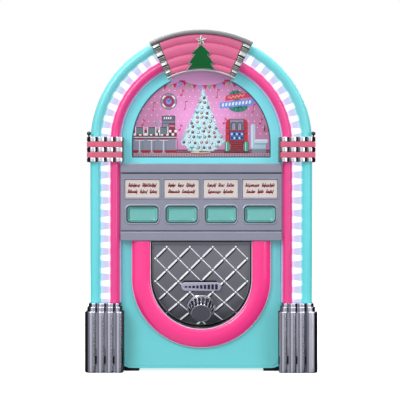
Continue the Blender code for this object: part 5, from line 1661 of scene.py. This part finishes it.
def fir_tree():
    """Frosted fir with small ornaments and bows, on a round stand."""
    rng = random.Random(24)
    left = [(1.4, 69.0), (-1.4, 58.4), (-6.2, 46.1), (-12.2, 33.8), (-17.7, 21.5), (-20.9, 14.1), (-14.4, 9.2), (-12.0, 6.2)]
    right = [(1.8, 69.0), (5.9, 58.4), (10.2, 46.9), (14.5, 34.6), (20.0, 22.3), (24.6, 16.1), (17.2, 9.2), (12.0, 6.2)]
    disc((-0.6, 4.5), 11.0, (92, 52, 56), 11, 32, 0.15)
    disc((-0.6, 4.8), 10.2, (222, 194, 168), 12, 32, 0.12)
    lay([(-2.4, 4.6), (-1.4, 8.4), (6.0, 8.4), (7.0, 4.6)], (116, 26, 44), 12)
    rows = [68.6 - 1.56 * i for i in range(41)]
    for shade, shrink, level in (((152, 196, 208), 0.0, 12), ((196, 226, 234), 1.3, 13)):
        a, b = [], []
        for i, z in enumerate(rows):
            tooth = 1.1 if i % 2 else -0.5
            k = shrink + tooth * rng.uniform(0.5, 1.3)
            a.append((min(1.2, across(left, z) + k), z))
            b.append((max(1.8, across(right, z) - k), z - 0.3))
        lay(a + b[::-1], shade, level)
    # tufts of frosted needles
    tones = ((232, 246, 250), (220, 240, 246), (206, 234, 240), (176, 214, 224), (140, 192, 204), (112, 172, 184))
    for i in range(760):
        z = 68.0 - 61.5 * rng.random() ** 0.66
        xl, xr = across(left, z), across(right, z)
        t = rng.random()
        x = xl + (xr - xl) * t
        a = math.radians(-90 + 110 * (t - 0.5) + rng.uniform(-25, 25))
        s = rng.uniform(0.9, 1.9)
        ca, sa = math.cos(a), math.sin(a)
        w = 0.34
        lay([(x - w * sa, z + w * ca), (x + s * ca, z + s * sa), (x + w * sa, z - w * ca), (x - 0.5 * s * ca, z - 0.5 * s * sa)], tones[rng.randrange(6)], 14)
    dark, pale, gold, red, bow = range(5)
    order = (dark, gold, red, pale, dark, bow, gold, dark, red, gold, dark, pale)
    hung, count = [], 0
    for row in range(11):
        # rows of ornaments that widen down the tree, each shifted a little
        z = 59.0 - 4.9 * row
        xl, xr = across(left, z) + 1.4, across(right, z) - 1.4
        n = max(1, int((xr - xl) / 6.2) + 1)
        for k in range(n):
            x = xl + (xr - xl) * (k + 0.5 + 0.3 * (-1) ** row) / n
            hung.append((x + rng.uniform(-0.8, 0.8), z + rng.uniform(-1.1, 1.1), order[count % 12]))
            count += 1
    for x, z, kind in hung:
        if kind == bow:
            for k in (-1, 1):
                lay([(x, z)[:2], (x + 2.1 * k, z + 1.7), (x + 2.3 * k, z - 0.9)][::k], (66, 170, 170), 17)
            lay([(x - 0.4, z), (x - 1.0, z - 2.4), (x + 0.3, z - 1.2), (x + 1.2, z - 2.2), (x + 0.4, z)], (34, 116, 122), 17)
            disc((x, z), 0.7, (24, 92, 100), 18, 8)
            continue
        outer, inner, r = (((58, 28, 40), (214, 186, 190), 0.45), ((78, 66, 78), (250, 248, 246), 0.85), ((84, 46, 44), (228, 190, 154), 0.95), ((134, 24, 44), (250, 214, 214), 0.5))[kind]
        disc((x, z), 1.45, outer, 17, 12)
        disc((x - 0.25, z + 0.3), r, inner, 18, 10)


film = plate(behind_crest(arch_outline(WIN_R + 3.5, WIN_Z0 - 3.2, 96), WIN_R + 4.6), [], [(0, -32.2), (0, -33.2)])
LAYERS.append((film[0], film[1], [ink_index((232, 150, 208))] * len(film[1])))
diorama()
# painted shadow: a dark ring in the print along the edge of the opening, where the window's rim shades the film
rim_line = inset(turn_to(behind_crest(arch_outline(WIN_R - 0.75, WIN_Z0 + 0.75, 96), 65.0), True), -3.0)
LAYERS.append(plate(rim_line, [inset(turn_to(rim_line, True), 3.0)], [(0, -33.19), (0, -33.72)], mat=ink_index((84, 60, 98))))
scene_print = piece("lit_scene", LAYERS, [FILM], stands_for=["diorama_panel"], smooth=False)
ink = scene_print.data.color_attributes.new(name="ink", type="FLOAT_COLOR", domain="CORNER")
for poly in scene_print.data.polygons:
    c = linear(INKS[poly.material_index])
    for li in poly.loop_indices:
        ink.data[li].color = c
for poly in scene_print.data.polygons:
    poly.material_index = 0

lens = plate(behind_crest(arch_outline(WIN_R - GAP, WIN_Z0 + GAP, 96), 65.2), [], [(0.0, -33.85), (0.0, -35.1)] + fillet(-35.4, 0.3, 1, 3)[1:])
piece("window_sheet", [lens], [CLEAR], stands_for=["window_lens"], sharp=34)


# ------------------------------------------------------------------ behind: door, cells, inlet and switch
DOOR_Z0, DOOR_Z1 = BAY[2] + GAP, BAY[3] - GAP
door_line = rounded_rect(0, 43.5, 60.4, DOOR_Z1 - DOOR_Z0, 0.9, 6)
thumb = rounded_rect(0, DOOR_Z1 - 4.5, 14.0, 4.0, 1.4, 8)
door = [
    plate(door_line, [thumb], [(0.0, Y_BACK - 1.2), (0, Y_BACK - 0.7)] + fillet(Y_BACK - 0.35, 0.4, -1, 4)[1:], [(0, Y_BACK - 1.2)] + fillet(Y_BACK - 0.35, 0.3, -1, 3)),
    plate(door_line, [], [(0.3, Y_BACK - 2.0), (0.0, Y_BACK - 1.8), (0.0, Y_BACK - 1.15)]),
]
for i in range(7):
    # grip ribs under the thumb recess
    z = DOOR_Z1 - 9.0 - 1.5 * i
    door.append(plate(rounded_rect(0, z, 22.0 - 1.2 * i, 0.7, 0.34, 5), [], [(0, Y_BACK - 0.5)] + fillet(Y_BACK - 0.02, 0.25, -1, 3)))
arrow = [(-4.0, 34.0), (0.0, 30.4), (4.0, 34.0), (4.0, 35.6), (0.0, 32.0), (-4.0, 35.6)]
door.append(plate(arrow, [], [(0, Y_BACK - 0.5), (0, Y_BACK - 0.1), (0.1, Y_BACK - 0.02)]))
piece("bay_door", door, [TEAL_BACK], body="battery_door", stands_for=["battery_door"], sharp=36)

CELL_R, CELL_Y, CELL_ZS = 7.1, 42.6, (27.6, 43.5, 59.4)
for i, z in enumerate(CELL_ZS):
    s = 1 if i % 2 == 0 else -1
    body = [(0.02, -24.7), (2.4, -24.9), (2.8, -25.0), (5.2, -25.0), (5.6, -24.7), (6.3, -24.6), (6.85, -24.2), (7.1, -23.6), (7.1, 10.2)]
    cap = [(7.1, 10.2), (7.1, 22.4), (6.9, 22.9), (6.3, 23.2), (5.2, 23.3), (5.0, 22.9), (3.3, 22.9), (3.1, 23.3), (2.75, 23.4), (2.7, 24.6), (2.45, 24.95), (0.02, 25.0)]
    shapes = [turned(body + [(0.02, 10.2)], 48, 0), turned([(0.02, 10.2)] + cap, 48, 1)]
    lie = Matrix.Translation(Vector((0, CELL_Y, z))) @ Matrix.Rotation(math.pi / 2 * s, 4, "Y")
    piece("cell_%d" % (i + 1), [placed(q, lie) for q in shapes], [CELL_DARK, CELL_GOLD], stands_for=["battery_%d" % (i + 1)], sharp=34)

for side, s in (("left", 1), ("right", -1)):
    strip = []
    x0, x1 = sorted((s * 26.9, s * 27.4))
    strip.append(box(x0, x1, 36.0, 49.0, 21.0, 66.0, 0, 0.2))
    for i, z in enumerate(CELL_ZS):
        coil = (i % 2 == 0) == (s < 0)
        if coil:
            pts = []
            for k in range(61):
                a = 2 * math.pi * 3.2 * k / 60
                r = 2.9 - 1.4 * k / 60
                pts.append((s * (26.9 - 1.35 * k / 60), CELL_Y + r * math.cos(a), z + r * math.sin(a)))
            strip.append(tube_path(pts, 0.28, 8))
        else:
            dome = turned([(0.02, 0.0), (3.0, 0.0), (2.6, 0.5), (1.6, 1.0), (0.02, 1.15)], 32)
            strip.append(placed(dome, Matrix.Translation(Vector((s * 26.95, CELL_Y, z))) @ Matrix.Rotation(-s * math.pi / 2, 4, "Y")))
    piece("contact_strip_" + side, strip, [SPRING], stands_for=["battery_contact_" + side], sharp=40)

tray = plate(rounded_rect(0, 43.5, 60.4, 51.4, 1.5, 6), [rounded_rect(0, 43.5, 57.6, 48.6, 1.0, 6)],
             [(0, 34.0), (0, 50.6), (0.3, 51.0)], [(0, 34.0), (0, 50.7), (0.2, 51.0)])
bay = [tray, plate(rounded_rect(0, 43.5, 60.4, 51.4, 1.5, 6), [], [(0.4, 33.0), (0, 33.4), (0, 34.5)])]
for z in (35.55, 51.45):
    # cradles between the cells
    bay.append(box(-24.0, 24.0, 34.4, 38.6, z - 0.7, z + 0.7, 0, 0.25))
piece("cell_tray", bay, [BLACK], stands_for=["battery_box"], sharp=36)

inlet = [plate(rounded_rect(50, 30, 9.2, 3.4, 1.65, 10), [rounded_rect(50, 30, 8.4, 2.6, 1.28, 10)], [(0, 44.0), (0, 53.0), (0.12, 53.2)], [(0, 46.4), (0, 53.0), (0.12, 53.2)]),
         plate(rounded_rect(50, 30, 9.0, 3.2, 1.55, 10), [], [(0, 44.0), (0, 46.5)])]
tongue = plate(rounded_rect(50, 30, 6.6, 0.7, 0.3, 6), [], [(0, 46.4), (0, 52.0), (0.12, 52.2)], mat=1)
pins = [box(50 - 2.8 + 0.8 * k - 0.13, 50 - 2.8 + 0.8 * k + 0.13, 48.4, 51.6, 30.3, 30.42, 2) for k in range(8)]
piece("inlet_socket", inlet + [tongue] + pins, [STEEL, BLACK, SPRING], stands_for=["usb_inlet"], sharp=36)

housing = [plate(rounded_rect(50, 49.5, 16.0, 8.0, 0.8, 6), [rounded_rect(50, 49.5, 12.6, 3.8, 0.3, 4)], [(0.2, 44.0), (0, 44.3), (0, 50.9), (0.3, 51.2)], [(0, 46.6), (0, 51.0), (0.15, 51.2)]),
           plate(rounded_rect(50, 49.5, 15.8, 7.8, 0.7, 6), [], [(0, 44.1), (0, 46.7)])]
piece("switch_housing", housing, [BLACK], stands_for=["power_switch"], sharp=36)
thumb_pad = [plate(rounded_rect(47.2, 49.5, 5.6, 2.8, 0.4, 5), [], [(0.1, 47.0), (0, 47.2), (0, 52.9)] + fillet(53.2, 0.3, -1, 3)[1:])]
for k in range(5):
    x = 45.4 + 0.9 * k
    thumb_pad.append(plate(rounded_rect(x, 49.5, 0.42, 2.3, 0.2, 5), [], [(0, 53.0)] + fillet(53.6, 0.18, -1, 3)))
piece("switch_thumb", thumb_pad, [WHITE], body="power_slider", stands_for=["power_slider"], sharp=36)


def screw(x, z):
    """Pan head with a cross recess, on a threaded shank."""
    prof = [(0.02, Y_SPLIT + 3.3), (2.8, Y_SPLIT + 3.3), (2.8, Y_SPLIT + 4.3), (2.6, Y_SPLIT + 4.9), (2.1, Y_SPLIT + 5.25), (1.75, Y_SPLIT + 5.35), (1.6, Y_SPLIT + 5.38)]

    shapes = [turned_y(prof + [(0.3, Y_SPLIT + 5.4), (0.02, Y_SPLIT + 5.4)], 48, x, z)]
    for k in (0, 1):
        w, l = (0.32, 1.45) if k == 0 else (1.45, 0.32)
        shapes.append(box(x - l, x + l, Y_SPLIT + 5.3, Y_SPLIT + 5.43, z - w, z + w, 1))
    thread = [(0.02, Y_SPLIT - 14.0), (0.7, Y_SPLIT - 13.4)]
    y = Y_SPLIT - 13.0
    while y < Y_SPLIT + 2.0:
        thread += [(0.78, y), (1.02, y + 0.35), (0.78, y + 0.7)]
        y += 0.75
    shapes.append(turned_y(thread + [(1.0, Y_SPLIT + 3.4), (0.02, Y_SPLIT + 3.4)], 20, x, z))
    return shapes


for name, (x, z) in zip(("lower_right", "lower_left", "upper_right", "upper_left"), POSTS):
    piece("case_screw_" + name, screw(x, z), [STEEL, BLACK], stands_for=["rear_screw_" + name], sharp=30)

for name, x0, x1, y0, y1 in (
    ("front_right", 55.8, 69.2, -35.4, -23.4), ("front_left", -69.2, -55.8, -35.4, -23.4),
    ("rear_right", 60.0, 76.0, 34.0, 46.0), ("rear_left", -76.0, -60.0, 34.0, 46.0),
):
    loops = []
    for z, k in ((CASE_FLOOR - GAP, 0.3), (CASE_FLOOR - GAP - 0.25, 0.0), (0.4, 0.0), (0.15, 0.08), (0.0, 0.35)):
        loops.append([(x, y, z) for x, y in rounded_rect((x0 + x1) / 2, (y0 + y1) / 2, x1 - x0 - 2 * k, y1 - y0 - 2 * k, 1.6, 6)])
    piece("foot_pad_" + name, [loft(loops)], [RUBBER], stands_for=["foot_" + name], sharp=40)

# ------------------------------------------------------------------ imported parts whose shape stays
for nodes, mat in (
    (("led_strip", "light_box"), WHITE),
    (("light_board", "main_board", "button_board"), BOARD),
    (("speaker_frame", "volume_pot"), BASKET),
    (("speaker_cone",), PAPER),
):
    for node in nodes:
        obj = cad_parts[node]
        if not obj.material_slots:
            obj.data.materials.append(mat)
        for s in obj.material_slots:
            s.material = mat
